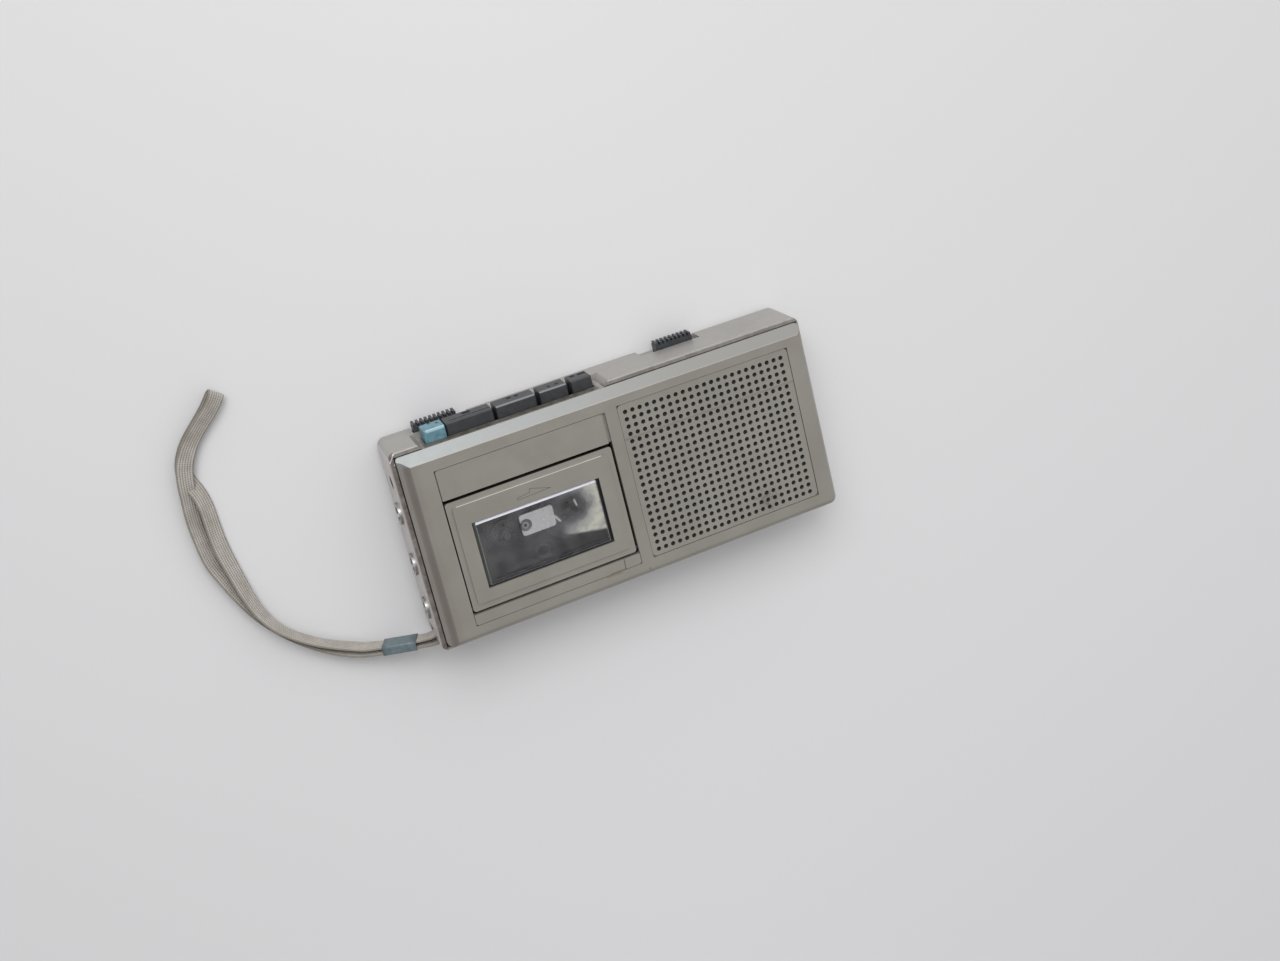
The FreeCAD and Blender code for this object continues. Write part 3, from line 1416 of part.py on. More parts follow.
# Battery tray, two cells, their contacts, and the cover that slides off to the right
cell_gap = 0.1
bay_floor = lid_seat
tray_back = back_wall + 0.15
tray_solid = block("tray_solid", (bay_left, bay_right), (-bay_low, -bay_high), (tray_back, bay_floor))
tray_hollow = block(
    "tray_hollow",
    (bay_left + bay_wall, bay_right - bay_wall),
    (-bay_low + bay_wall, -bay_high - bay_wall),
    (0.0, bay_floor - bay_wall),
)
finish("battery_tray", cut("battery_tray", tray_solid, tray_hollow))
cell_z = cover_thick + 0.1 + cell_radius
cell_left = bay_left + bay_wall + 1.6
cell_ups = {
    "lower": -bay_low + bay_wall + cell_gap + cell_radius,
    "upper": -bay_high - bay_wall - cell_gap - cell_radius,
}
cells = []
contacts = []
for number, (row, up) in enumerate(cell_ups.items()):
    cap_right = number == 0
    body_left = cell_left + (0.0 if cap_right else 1.0)
    body_span = (body_left, body_left + cell_long)
    cap_span = (
        (body_left + cell_long - 0.1, body_left + cell_long + 1.0)
        if cap_right
        else (body_left - 1.0, body_left + 0.1)
    )
    cells.append(
        join(
            f"{row}_cell",
            rod(f"{row}_cell_can", "x", (up, cell_z), body_span, cell_radius - 0.1),
            rod(f"{row}_cell_cap", "x", (up, cell_z), cap_span, 2.6),
        )
    )
    inner_right = bay_right - bay_wall - 0.05
    contacts.append(
        join(
            f"{row}_right_contact",
            block(
                f"{row}_right_plate",
                (inner_right - 0.4, inner_right),
                (up - 5.0, up + 5.0),
                (cell_z - 5.0, cell_z + 5.0),
            ),
            rod(f"{row}_spring", "x", (up, cell_z), (cell_left + cell_long + 1.1, inner_right - 0.3), 2.6),
        )
    )
    inner_left = bay_left + bay_wall + 0.05
    contacts.append(
        join(
            f"{row}_left_contact",
            block(
                f"{row}_left_plate",
                (inner_left, inner_left + 0.4),
                (up - 5.0, up + 5.0),
                (cell_z - 5.0, cell_z + 5.0),
            ),
            rod(f"{row}_stud", "x", (up, cell_z), (inner_left + 0.3, cell_left - 0.1), 2.2),
        )
    )
finish("battery_cells", group("battery_cells", *cells))
finish("battery_contacts", group("battery_contacts", *contacts))
cover = new_body("cover_body")
pad(cover, "cover_panel", (cover_left, tub_right), (-cover_low, -cover_high), (0.0, cover_thick))
pad(
    cover,
    "cover_tongues",
    (cover_left, tub_right - 6.0),
    (-cover_low - cover_tongue, -cover_high + cover_tongue),
    (tongue_low, tongue_low + tongue_thick),
)
soften(
    cover,
    "cover_end",
    cover_end_round,
    lambda edge: runs_along(edge, Vector(0, 1, 0))
    and near(edge.CenterOfMass.x, tub_right)
    and near(edge.CenterOfMass.z, 0.0),
)
finish("battery_cover", cover)

# Four cabinet screws from the back, with a cross in the head
cross_top = screw_shank + 0.4
cabinet_screws = []
for corner, (across, up) in screw_places.items():
    screw_solid = join(
        f"cabinet_screw_solid_{corner}",
        rod(f"screw_head_{corner}", "z", (across, up), (0.5, back_wall - 0.02), screw_head),
        rod(f"screw_shank_{corner}", "z", (across, up), (back_wall - 0.1, inner_front - 1.6), screw_shank),
    )
    arms = [
        block(
            f"screw_cross_{number}_{corner}",
            (across - half_x, across + half_x),
            (up - half_y, up + half_y),
            (0.0, cross_top),
        )
        for number, (half_x, half_y) in enumerate(
            ((recess_long / 2, recess_wide / 2), (recess_wide / 2, recess_long / 2))
        )
    ]
    cabinet_screws.append(cut(f"cabinet_screw_{corner}", screw_solid, *arms))
finish("cabinet_screws", group("cabinet_screws", *cabinet_screws))

# Bar across the corner notch, the wrist strap's loop round it, and the sleeve on the strap
finish("strap_bar", rod("strap_bar", "z", (-bar_x, -bar_y), bar_span, bar_radius))

# The strap goes out along the side nearer the bottom, folds back at its far end and returns
STRAP_ROUTE = [
    (-65.25, -31.95, 10.5),
    (-65.25, -33.45, 10.5),
    (-67.6, -33.9, 10.5),
    (-69.6, -34.7, 10.2),
    (-72.9, -35.1, 9.0),
    (-86.6, -33.55, 4.1),
    (-96.4, -29.75, 3.0),
    (-108.1, -21.95, 2.9),
    (-116.8, -11.0, 2.9),
    (-124.55, 2.35, 2.9),
    (-129.1, 16.6, 2.9),
    (-129.2, 30.95, 2.9),
    (-126.45, 44.4, 2.9),
    (-119.25, 54.6, 2.9),
    (-115.2, 60.35, 2.9),
    (-112.0, 65.1, 2.9),
    (-109.25, 63.15, 2.9),
    (-112.05, 59.0, 2.9),
    (-117.0, 52.9, 2.9),
    (-124.1, 43.25, 2.9),
    (-124.05, 32.0, 2.9),
    (-121.85, 18.65, 2.9),
    (-119.8, 4.35, 2.9),
    (-114.7, -9.4, 2.9),
    (-106.8, -20.4, 2.9),
    (-95.65, -27.9, 3.0),
    (-86.35, -31.7, 4.1),
    (-72.75, -33.25, 9.0),
    (-69.4, -32.1, 10.3),
    (-67.5, -30.5, 10.5),
    (-65.25, -30.4, 10.5),
    (-65.25, -31.85, 10.5),
]


def strap_path(points):
    """Straight runs joined by tangent arcs, as large as the two runs at a corner allow."""
    corners = [Vector(*point) for point in points]
    edges = []
    radii = []
    start = corners[0]
    for before, corner, after in zip(corners, corners[1:], corners[2:]):
        arriving = (corner - before).normalize()
        leaving = (after - corner).normalize()
        turn = arriving.getAngle(leaving)
        reach = 0.45 * min((corner - before).Length, (after - corner).Length)
        radii.append(reach / math.tan(turn / 2))
        arc_start = corner - arriving * reach
        arc_end = corner + leaving * reach
        inward = (leaving - arriving).normalize()
        middle = corner + inward * (radii[-1] / math.cos(turn / 2) - radii[-1])
        edges.append(Part.LineSegment(start, arc_start).toShape())
        edges.append(Part.Arc(arc_start, middle, arc_end).toShape())
        start = arc_end
    edges.append(Part.LineSegment(start, corners[-1]).toShape())
    return Part.Wire(edges), radii


path, strap_radii = strap_path(STRAP_ROUTE)
half_strap = Vector(strap_thick.number / 2, 0, 0)
half_width = Vector(0, 0, strap_wide.number / 2)
strap_start = Vector(*STRAP_ROUTE[0])
strap_section = Part.makePolygon(
    [
        strap_start + half_strap + half_width,
        strap_start - half_strap + half_width,
        strap_start - half_strap - half_width,
        strap_start + half_strap - half_width,
        strap_start + half_strap + half_width,
    ]
)

# The strap stands on its edge all the way, so its section is kept upright
strap_sweep = Part.BRepOffsetAPI.MakePipeShell(path)
strap_sweep.setBiNormalMode(Vector(0, 0, 1))
strap_sweep.add(strap_section)
strap_sweep.build()
strap_sweep.makeSolid()
strap = doc.addObject("Part::Feature", "wrist_strap")
strap.Shape = strap_sweep.shape()
finish("wrist_strap", strap)
strap_area = strap_wide.number * strap_thick.number
print("strap length", round(path.Length, 1), "tightest radius", round(min(strap_radii), 2))
print("strap radii", [round(radius, 1) for radius in strap_radii])
print("strap volume over section times length", round(strap.Shape.Volume / (strap_area * path.Length), 4))

# Sleeve that holds the strap's two runs together
outward_run = (Vector(*STRAP_ROUTE[4]), Vector(*STRAP_ROUTE[5]))
return_run = (Vector(*STRAP_ROUTE[27]), Vector(*STRAP_ROUTE[26]))
keeper_middle = (outward_run[0] + outward_run[1] + return_run[0] + return_run[1]) * 0.25
keeper_heading = (outward_run[1] - outward_run[0] + return_run[1] - return_run[0]).normalize()
keeper_tall = strap_wide + 0.3
keeper_tunnel = (keeper_long.number + 2.0, keeper_room.number, keeper_tall.number)
keeper_outside = (
    keeper_long.number,
    (keeper_room + keeper_wall * 2).number,
    (keeper_tall + keeper_wall * 2).number,
)


def centred_box(lengths):
    solid = Part.makeBox(*lengths)
    solid.translate(Vector(*lengths) * -0.5)
    return solid


keeper = doc.addObject("Part::Feature", "strap_keeper")
keeper.Shape = centred_box(keeper_outside).cut(centred_box(keeper_tunnel))
keeper_side = Vector(-keeper_heading.y, keeper_heading.x, 0).normalize()
keeper_up = keeper_heading.cross(keeper_side).normalize()
keeper.Placement = Placement(
    keeper_middle, Rotation(keeper_heading, keeper_side, keeper_up, "XYZ")
)
finish("strap_keeper", keeper)

doc.recompute()
for item in doc.Objects:
    if "Invalid" in item.State or "Error" in item.State:
        raise RuntimeError(f"{item.Name} could not be built: {item.State}")
for node, item in finished.items():
    if item.Shape.isNull() or not item.Shape.isValid():
        raise RuntimeError(f"{node} has no valid shape")
for node, item in finished.items():
    item.Shape.exportStep(f"parts/{node}.step")
    solids = len(item.Shape.Solids)
    print(f"{node}: {solids} solids, {item.Shape.Volume:.1f} mm3")
print(len(finished), "nodes")
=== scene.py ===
import math

import bmesh
import bpy
from mathutils import Matrix, Vector


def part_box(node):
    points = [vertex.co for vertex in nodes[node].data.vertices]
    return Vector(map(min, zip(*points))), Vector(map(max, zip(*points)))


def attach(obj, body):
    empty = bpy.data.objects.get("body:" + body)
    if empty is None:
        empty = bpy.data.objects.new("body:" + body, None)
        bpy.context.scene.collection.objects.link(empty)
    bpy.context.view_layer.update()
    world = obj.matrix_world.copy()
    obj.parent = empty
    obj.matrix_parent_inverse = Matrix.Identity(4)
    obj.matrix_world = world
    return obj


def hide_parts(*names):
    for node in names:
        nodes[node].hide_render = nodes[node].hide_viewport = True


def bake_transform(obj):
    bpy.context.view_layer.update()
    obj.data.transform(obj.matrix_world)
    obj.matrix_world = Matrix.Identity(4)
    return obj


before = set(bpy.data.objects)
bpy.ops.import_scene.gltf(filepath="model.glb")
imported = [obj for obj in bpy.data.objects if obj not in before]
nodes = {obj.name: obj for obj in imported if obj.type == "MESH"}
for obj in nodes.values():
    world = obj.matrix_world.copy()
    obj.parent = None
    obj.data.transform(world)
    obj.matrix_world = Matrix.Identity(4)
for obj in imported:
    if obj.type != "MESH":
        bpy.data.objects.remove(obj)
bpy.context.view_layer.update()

# Camera: at the photograph's viewing angle, from above and a little to the left of a machine that
# lies on its back. Its place and axes were solved from the cabinet's corners and the grille's
# holes, and the shift keeps the photograph's framing.
camera_data = bpy.data.cameras.new("camera")
camera_data.sensor_width = 36.0
camera_data.lens = 43.694
camera_data.shift_x = -0.02383
camera_data.shift_y = -0.18826
camera_data.clip_start = 0.05
camera_data.clip_end = 20.0
camera = bpy.data.objects.new("camera", camera_data)
bpy.context.scene.collection.objects.link(camera)
camera_place = (-0.1155, 0.178892, 0.473383)
camera_right = (0.908723, -0.222984, 0.352848)
camera_up = (0.285414, 0.948782, -0.135466)
camera_back = (-0.304569, 0.223809, 0.925823)
camera_turn = Matrix((camera_right, camera_up, camera_back)).transposed().to_4x4()
camera.matrix_world = Matrix.Translation(camera_place) @ camera_turn
bpy.context.scene.camera = camera
bpy.context.scene.view_settings.view_transform = "Standard"

# Wrist strap: a flat tape woven of grey-beige yarn with lengthwise ribs, looped round the bar in
# the near left corner and folded back on itself at the far end, where the two runs lie together.
# Beside each point of the route stands the direction in which the tape's width points.
MM = 0.001
STRAP_WIDTH = 5.4 * MM
STRAP_THICK = 0.75 * MM
STRAP_RIBS = 6
VALLEY_THICK = 0.62
WEFT_PITCH = 0.0007
YARN_DARK = (0.34, 0.315, 0.28)
YARN_LIGHT = (0.47, 0.445, 0.405)
VALLEY_SHADE = (0.13, 0.115, 0.095)
WEFT_SHADE = (0.15, 0.135, 0.11)
STRAP = [
    ((-65.25, -31.95, 10.5), (0, 0, 1)),
    ((-65.25, -33.45, 10.5), (0, 0, 1)),
    ((-67.6, -34.3, 10.5), (0, 0, 1)),
    ((-70.2, -34.9, 10.2), (0, 0, 1)),
    ((-74.9, -34.1, 9.5), (0, -0.02, 1)),
    ((-84.9, -33.65, 5.6), (0, -0.06, 1)),
    ((-90.7, -32.95, 3.7), (0, -0.15, 0.99)),
    ((-95.7, -31.1, 3.1), (0, -0.24, 0.97)),
    ((-100.65, -28.14, 3), (-0.3, -0.04, 0.95)),
    ((-106.11, -23.9, 3), (-0.33, -0.02, 0.94)),
    ((-110.85, -19.26, 2.8), (-0.4, -0.01, 0.92)),
    ((-116.11, -12.49, 2.55), (-0.5, -0.04, 0.87)),
    ((-119.14, -7.18, 2.3), (-0.62, -0.05, 0.78)),
    ((-122.04, -0.64, 2.2), (-0.69, -0.05, 0.72)),
    ((-124.28, 5.6, 2.1), (-0.76, -0.09, 0.64)),
    ((-126.51, 11.68, 2.1), (-0.81, -0.01, 0.58)),
    ((-127.37, 19.54, 2.1), (-0.79, 0.12, 0.6)),
    ((-127.72, 26.94, 2.2), (-0.79, 0.2, 0.57)),
    ((-127.04, 33.47, 2.6), (-0.85, 0.23, 0.47)),
    ((-126.45, 39.52, 3.3), (-0.92, 0.25, 0.3)),
    ((-125.25, 44.46, 3.3), (-0.87, 0.46, 0.17)),
    ((-122, 49.86, 3.6), (-0.65, 0.66, 0.38)),
    ((-117.36, 54.58, 3.9), (-0.53, 0.72, 0.45)),
    ((-113.52, 57.98, 4), (-0.59, 0.69, 0.43)),
    ((-110.26, 62.23, 3.9), (-0.75, 0.5, 0.44)),
    ((-111.17, 62.25, 1.9), (-0.54, 0.75, 0.39)),
    ((-114.56, 57.96, 1.9), (-0.6, 0.68, 0.43)),
    ((-118.41, 54.15, 1.9), (-0.56, 0.71, 0.42)),
    ((-123, 49.39, 1.8), (-0.69, 0.63, 0.36)),
    ((-125.71, 43.89, 1.35), (-0.91, 0.37, 0.2)),
    ((-126.29, 39.02, 1.3), (-0.93, -0.07, 0.36)),
    ((-124.08, 34.42, 1.8), (-0.81, -0.12, 0.57)),
    ((-123.05, 29.36, 2.1), (-0.82, 0.09, 0.57)),
    ((-122.99, 23.2, 2.1), (-0.84, 0.15, 0.52)),
    ((-122.76, 16.58, 2.1), (-0.86, 0.08, 0.5)),
    ((-121.88, 10.81, 2.3), (-0.83, 0.04, 0.56)),
    ((-120.74, 4.85, 2.9), (-0.77, 0.07, 0.64)),
    ((-119.7, -0.41, 3.5), (-0.72, 0.08, 0.69)),
    ((-118.15, -6.41, 4.1), (-0.62, 0.06, 0.78)),
    ((-115.79, -11.63, 4.3), (-0.51, 0.03, 0.86)),
    ((-113.16, -15.45, 4.55), (-0.4, -0, 0.92)),
    ((-109.58, -19.1, 4.5), (-0.33, -0.02, 0.95)),
    ((-104.4, -23.32, 4.2), (-0.29, -0.05, 0.96)),
    ((-98.92, -26.91, 3.6), (-0.25, -0.06, 0.96)),
    ((-93.3, -29.75, 3.5), (0, -0.24, 0.97)),
    ((-90.4, -31, 3.9), (0, -0.15, 0.99)),
    ((-84.5, -31.75, 5.6), (0, -0.06, 1)),
    ((-74.5, -32.2, 9.5), (0, -0.02, 1)),
    ((-69.9, -32.5, 10.2), (0, 0, 1)),
    ((-67.6, -30.7, 10.5), (0, 0, 1)),
    ((-65.25, -30.4, 10.5), (0, 0, 1)),
    ((-65.25, -31.85, 10.5), (0, 0, 1)),
]


def smooth_line(points, steps=24):
    """The points of a smooth curve that a route's control points shape."""
    curve = bpy.data.curves.new("route", "CURVE")
    curve.dimensions = "3D"
    spline = curve.splines.new("NURBS")
    spline.points.add(len(points) - 1)
    for control, point in zip(spline.points, points):
        control.co = (*point, 1.0)
    spline.order_u = 3
    spline.use_endpoint_u = True
    spline.resolution_u = steps
    holder = bpy.data.objects.new("route", curve)
    mesh = bpy.data.meshes.new_from_object(holder)
    line = [vertex.co.copy() for vertex in mesh.vertices]
    bpy.data.objects.remove(holder)
    bpy.data.curves.remove(curve)
    bpy.data.meshes.remove(mesh)
    return line


def tape_section(rib_steps=6, end_steps=6):
    """The tape's ribbed section with rounded edges: each point, and how far across it lies."""
    half_width, half_thick = STRAP_WIDTH / 2, STRAP_THICK / 2
    half = []
    steps = STRAP_RIBS * rib_steps
    for index in range(steps + 1):
        across = index / steps
        rib = math.sqrt(abs(math.sin(math.pi * across * STRAP_RIBS)))
        height = half_thick * (VALLEY_THICK + (1.0 - VALLEY_THICK) * rib)
        half.append(((0.5 - across) * (STRAP_WIDTH - STRAP_THICK), height, across))
    for index in range(1, end_steps):
        angle = math.pi * index / end_steps
        edge = -half_width + half_thick - half_thick * math.sin(angle)
        half.append((edge, half_thick * VALLEY_THICK * math.cos(angle), 1.0))
    return half + [(-u, -v, 1.0 - across) for u, v, across in half]


def ring_across(mesh, line, index, wide, outline):
    """An outline set square across a line at one of its points, with its width pointing one way."""
    along = (line[min(index + 1, len(line) - 1)] - line[max(index - 1, 0)]).normalized()
    width_axis = (wide - along * wide.dot(along)).normalized()
    normal = along.cross(width_axis)
    return [mesh.verts.new(line[index] + width_axis * u + normal * v) for u, v in outline]


def join_rings(mesh, first, second, smooth=True):
    """The faces between two rings of points."""
    faces = []
    for corner, point in enumerate(first):
        following = (corner + 1) % len(first)
        face = mesh.faces.new((point, first[following], second[following], second[corner]))
        face.smooth = smooth
        faces.append(face)
    return faces


def finished_piece(mesh, name):
    """The object that a mesh becomes once its faces all point outwards."""
    bmesh.ops.recalc_face_normals(mesh, faces=mesh.faces)
    data = bpy.data.meshes.new(name)
    mesh.to_mesh(data)
    mesh.free()
    piece = bpy.data.objects.new(name, data)
    bpy.context.scene.collection.objects.link(piece)
    return piece


route = smooth_line([Vector(point) * MM for point, _ in STRAP])
widths = smooth_line([Vector(width).normalized() for _, width in STRAP])
lengths = [0.0]
for before, after in zip(route, route[1:]):
    lengths.append(lengths[-1] + (after - before).length)

strap_section = tape_section()
strap_outline = [(u, v) for u, v, _ in strap_section]
strap_shares = [across for _, _, across in strap_section]
strap_mesh = bmesh.new()
uv_layer = strap_mesh.loops.layers.uv.new("along")
strap_rings = [
    ring_across(strap_mesh, route, index, wide, strap_outline) for index, wide in enumerate(widths)
]
for index in range(len(strap_rings) - 1):
    start, stop = lengths[index], lengths[index + 1]
    for corner, face in enumerate(join_rings(strap_mesh, strap_rings[index], strap_rings[index + 1])):
        here, beside = strap_shares[corner], strap_shares[(corner + 1) % len(strap_shares)]
        places = ((start, here), (start, beside), (stop, beside), (stop, here))
        for loop, place in zip(face.loops, places):
            loop[uv_layer].uv = place
strap_mesh.faces.new(strap_rings[0][::-1])
strap_mesh.faces.new(strap_rings[-1])
strap = finished_piece(strap_mesh, "wrist_strap_woven")


class Paint:
    """Builds one procedural material, step by step. Its masks run from 0 to 1."""

    def __init__(self, name):
        self.material = bpy.data.materials.new(name)
        self.material.use_nodes = True
        self.tree = self.material.node_tree
        self.shader = self.tree.nodes["Principled BSDF"]
        self.place = self.tree.nodes.new("ShaderNodeTexCoord").outputs["Object"]

    def put(self, socket, value):
        """Links a node's output to a socket, or sets the socket to a number or colour."""
        if isinstance(value, bpy.types.NodeSocket):
            self.tree.links.new(value, socket)
        elif isinstance(value, tuple) and len(value) == 3 and socket.type == "RGBA":
            socket.default_value = (*value, 1.0)
        else:
            socket.default_value = value

    def set(self, **inputs):
        """Sets the shader's own inputs."""
        for name, value in inputs.items():
            self.put(self.shader.inputs[name.replace("_", " ")], value)

    def noise(self, scale, detail=3.0, roughness=0.5, place=None):
        """Noise whose size is given in features to the metre."""
        node = self.tree.nodes.new("ShaderNodeTexNoise")
        self.put(node.inputs["Vector"], place or self.place)
        self.put(node.inputs["Scale"], scale)
        self.put(node.inputs["Detail"], detail)
        self.put(node.inputs["Roughness"], roughness)
        return node.outputs["Fac"]

    def stretched(self, factors):
        """The place on the object, with a factor of its own along each axis."""
        node = self.tree.nodes.new("ShaderNodeMapping")
        self.put(node.inputs["Vector"], self.place)
        node.inputs["Scale"].default_value = factors
        return node.outputs["Vector"]

    def span(self, value, low, high, to_low=0.0, to_high=1.0, smooth=False):
        """A value's run from low to high, laid on another run of values."""
        node = self.tree.nodes.new("ShaderNodeMapRange")
        if smooth:
            node.interpolation_type = "SMOOTHSTEP"
        for index, number in enumerate((value, low, high, to_low, to_high)):
            self.put(node.inputs[index], number)
        return node.outputs[0]

    def math(self, operation, first, second=0.0):
        """One step of arithmetic on numbers."""
        node = self.tree.nodes.new("ShaderNodeMath")
        node.operation = operation
        self.put(node.inputs[0], first)
        self.put(node.inputs[1], second)
        return node.outputs[0]

    def vector(self, operation, first, second, output="Vector"):
        """One step of arithmetic on places. SCALE takes a number as its second value."""
        node = self.tree.nodes.new("ShaderNodeVectorMath")
        node.operation = operation
        self.put(node.inputs[0], first)
        self.put(node.inputs["Scale" if operation == "SCALE" else 1], second)
        return node.outputs[output]

    def mix(self, factor, first, second):
        """The first colour where the factor is 0, and the second where it is 1."""
        node = self.tree.nodes.new("ShaderNodeMix")
        node.data_type = "RGBA"
        self.put(node.inputs["Factor"], factor)
        self.put(node.inputs[6], first)
        self.put(node.inputs[7], second)
        return node.outputs[2]

    def distance(self, point):
        """How far a point on the object is, in metres."""
        return self.vector("DISTANCE", self.place, point, "Value")

    def near(self, point, radius, ragged=0.0, scale=800.0):
        """1 at a point on the object, falling to 0 at the radius, and ragged where asked."""
        distance = self.distance(point)
        if ragged:
            shift = self.span(self.noise(scale, 4.0, 0.65), 0.3, 0.7, -ragged, ragged)
            distance = self.math("ADD", distance, shift)
        return self.span(distance, 0.0, radius, 1.0, 0.0, smooth=True)

    def stroke(self, first, second, radius, soft=0.4):
        """1 along the line between two points on the object, in millimetres, and 0 past the radius."""
        first, second = Vector(first) * MM, Vector(second) * MM
        way = second - first
        offset = self.vector("SUBTRACT", self.place, first)
        along = self.vector("DOT_PRODUCT", offset, way / way.length_squared, "Value")
        share = self.math("MINIMUM", self.math("MAXIMUM", along, 0.0), 1.0)
        gap = self.vector("DISTANCE", offset, self.vector("SCALE", way, share), "Value")
        radius *= MM
        return self.span(gap, radius * (1.0 - soft), radius, 1.0, 0.0, smooth=True)

    def tint(self, tone, mask, share, colour):
        """The tone with some of another colour laid over it where the mask says."""
        return self.mix(self.math("MULTIPLY", mask, share), tone, colour)

    def axis(self, letter):
        """The place along one axis of the object, in metres."""
        node = self.tree.nodes.new("ShaderNodeSeparateXYZ")
        self.put(node.inputs[0], self.place)
        return node.outputs[letter]

    def band(self, letter, low, high, soft=0.15):
        """1 between two places along an axis, in millimetres, with soft ends."""
        place = self.axis(letter)
        rise = self.span(place, (low - soft) * MM, (low + soft) * MM, smooth=True)
        fall = self.span(place, (high - soft) * MM, (high + soft) * MM, 1.0, 0.0, smooth=True)
        return self.math("MULTIPLY", rise, fall)

    def both(self, *masks):
        """Where all the masks are at once."""
        result = masks[0]
        for mask in masks[1:]:
            result = self.math("MULTIPLY", result, mask)
        return result

    def bump(self, height, distance, strength=1.0, under=None):
        """Fine relief, on top of other relief where there is some."""
        node = self.tree.nodes.new("ShaderNodeBump")
        self.put(node.inputs["Height"], height)
        node.inputs["Distance"].default_value = distance
        node.inputs["Strength"].default_value = strength
        if under is not None:
            self.put(node.inputs["Normal"], under)
        return node.outputs["Normal"]


webbing = Paint("webbing")
uv_node = webbing.tree.nodes.new("ShaderNodeUVMap")
uv_node.uv_map = "along"
tape_place = webbing.tree.nodes.new("ShaderNodeSeparateXYZ")
webbing.put(tape_place.inputs[0], uv_node.outputs["UV"])
weft_turn = webbing.math("MULTIPLY", tape_place.outputs["X"], 2 * math.pi / WEFT_PITCH)
weft = webbing.math("SINE", weft_turn)
rib_turn = webbing.math("MULTIPLY", tape_place.outputs["Y"], STRAP_RIBS * math.pi)
rib_height = webbing.math("ABSOLUTE", webbing.math("SINE", rib_turn))
yarn_dirt = webbing.noise(240.0, 4.0, 0.6)
fibres = webbing.noise(2600.0, 3.0, 0.7)
webbing_tone = webbing.mix(webbing.span(yarn_dirt, 0.3, 0.7), YARN_DARK, YARN_LIGHT)
webbing_tone = webbing.mix(
    webbing.span(rib_height, 0.1, 0.75, 0.7, 0.0, smooth=True), webbing_tone, VALLEY_SHADE
)
webbing_tone = webbing.mix(webbing.span(weft, -1.0, 1.0, 0.22, 0.0), webbing_tone, WEFT_SHADE)
webbing.set(
    Base_Color=webbing_tone,
    Roughness=webbing.span(fibres, 0.3, 0.7, 0.78, 0.92),
    Sheen_Weight=0.2,
    Normal=webbing.bump(weft, 0.00005, 0.7, webbing.bump(fibres, 0.00005, 0.5)),
)
strap.data.materials.append(webbing.material)
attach(strap, "cabinet")
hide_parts("wrist_strap")

# Strap keeper: a short flattened sleeve of blue-grey soft plastic, slid over both runs of the
# strap beside the machine. It is moulded in one piece and held only by its grip on the tape.
KEEPER_LINE = (
    # along the machine, where the two runs lie across it, and height, in millimetres
    (-85.0, -31.70, -33.65, 5.42),
    (-82.5, -31.80, -33.72, 6.42),
    (-80.0, -31.92, -33.82, 7.42),
    (-77.5, -32.03, -33.93, 8.40),
    (-75.0, -32.15, -34.05, 9.33),
)
KEEPER_HALF_WIDE = 2.62
KEEPER_HALF_THICK = 1.42
KEEPER_CORNER = 0.5
KEEPER_WALL = 0.28
KEEPER_DARK = (0.085, 0.125, 0.140)
KEEPER_LIGHT = (0.155, 0.190, 0.200)
KEEPER_FOLD_SHADE = (0.04, 0.055, 0.06)


def oval(half_wide, half_thick, corner, corner_steps=8):
    """The outline of a flattened sleeve: across the strap's width, then its thickness."""
    outline = []
    for quarter, (side, face) in enumerate(((1, 1), (-1, 1), (-1, -1), (1, -1))):
        for index in range(corner_steps + 1):
            angle = math.pi / 2 * (quarter + index / corner_steps)
            outline.append(
                (
                    side * (half_wide - corner) + corner * math.cos(angle),
                    face * (half_thick - corner) + corner * math.sin(angle),
                )
            )
    return outline


keeper_line = [Vector((x, (first + second) / 2, z)) * MM for x, first, second, z in KEEPER_LINE]
keeper_wide = Vector((0, -0.04, 1.0))
keeper_mesh = bmesh.new()
keeper_walls = []
for wall in (0.0, KEEPER_WALL):
    outline = oval(
        (KEEPER_HALF_WIDE + wall) * MM, (KEEPER_HALF_THICK + wall) * MM, (KEEPER_CORNER + wall) * MM
    )
    keeper_walls.append(
        [
            ring_across(keeper_mesh, keeper_line, index, keeper_wide, outline)
            for index in range(len(keeper_line))
        ]
    )
inner, outer = keeper_walls
keeper_loop = [*inner, *outer[::-1], inner[0]]
for first, second in zip(keeper_loop, keeper_loop[1:]):
    join_rings(keeper_mesh, first, second, smooth=(first in inner) == (second in inner))
keeper = finished_piece(keeper_mesh, "strap_keeper_sleeve")

keeper_paint = Paint("keeper")
keeper_wear = keeper_paint.noise(700.0, 5.0, 0.7)
keeper_tone = keeper_paint.mix(keeper_paint.span(keeper_wear, 0.35, 0.7), KEEPER_DARK, KEEPER_LIGHT)
# Painted shade along the sleeve's fold.
fold_shade = keeper_paint.stroke((-85.0, -34.2, 7.0), (-75.0, -34.6, 10.9), 0.55, 0.9)
keeper_paint.set(
    Base_Color=keeper_paint.tint(keeper_tone, fold_shade, 0.6, KEEPER_FOLD_SHADE),
    Roughness=keeper_paint.span(keeper_wear, 0.3, 0.7, 0.3, 0.5),
    Normal=keeper_paint.bump(keeper_wear, 0.00008, 0.5),
)
keeper.data.materials.append(keeper_paint.material)
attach(keeper, "cabinet")
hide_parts("strap_keeper")

# Cabinet: two moulded halves in satin metallic grey paint, joined along the rim by four screws
# from the back. The paint is a little worn. Painted shade, patchy like grime, darkens the seam,
# the ledge before the keys and the rim, and painted light pales the left end, tints the far bevel and
# marks the far left corner.
GRIME_AND_SHADE = (0.075, 0.055, 0.042)
SCUFFED = (0.17, 0.15, 0.125)
SOFT_SHADE = (0.14, 0.12, 0.11)
RUST = (0.20, 0.10, 0.05)
PAINT_GRAIN = 0.00002


def assign(material, *names):
    """Gives CAD nodes their material."""
    for name in names:
        mesh = nodes[name].data
        mesh.materials.clear()
        mesh.materials.append(material)


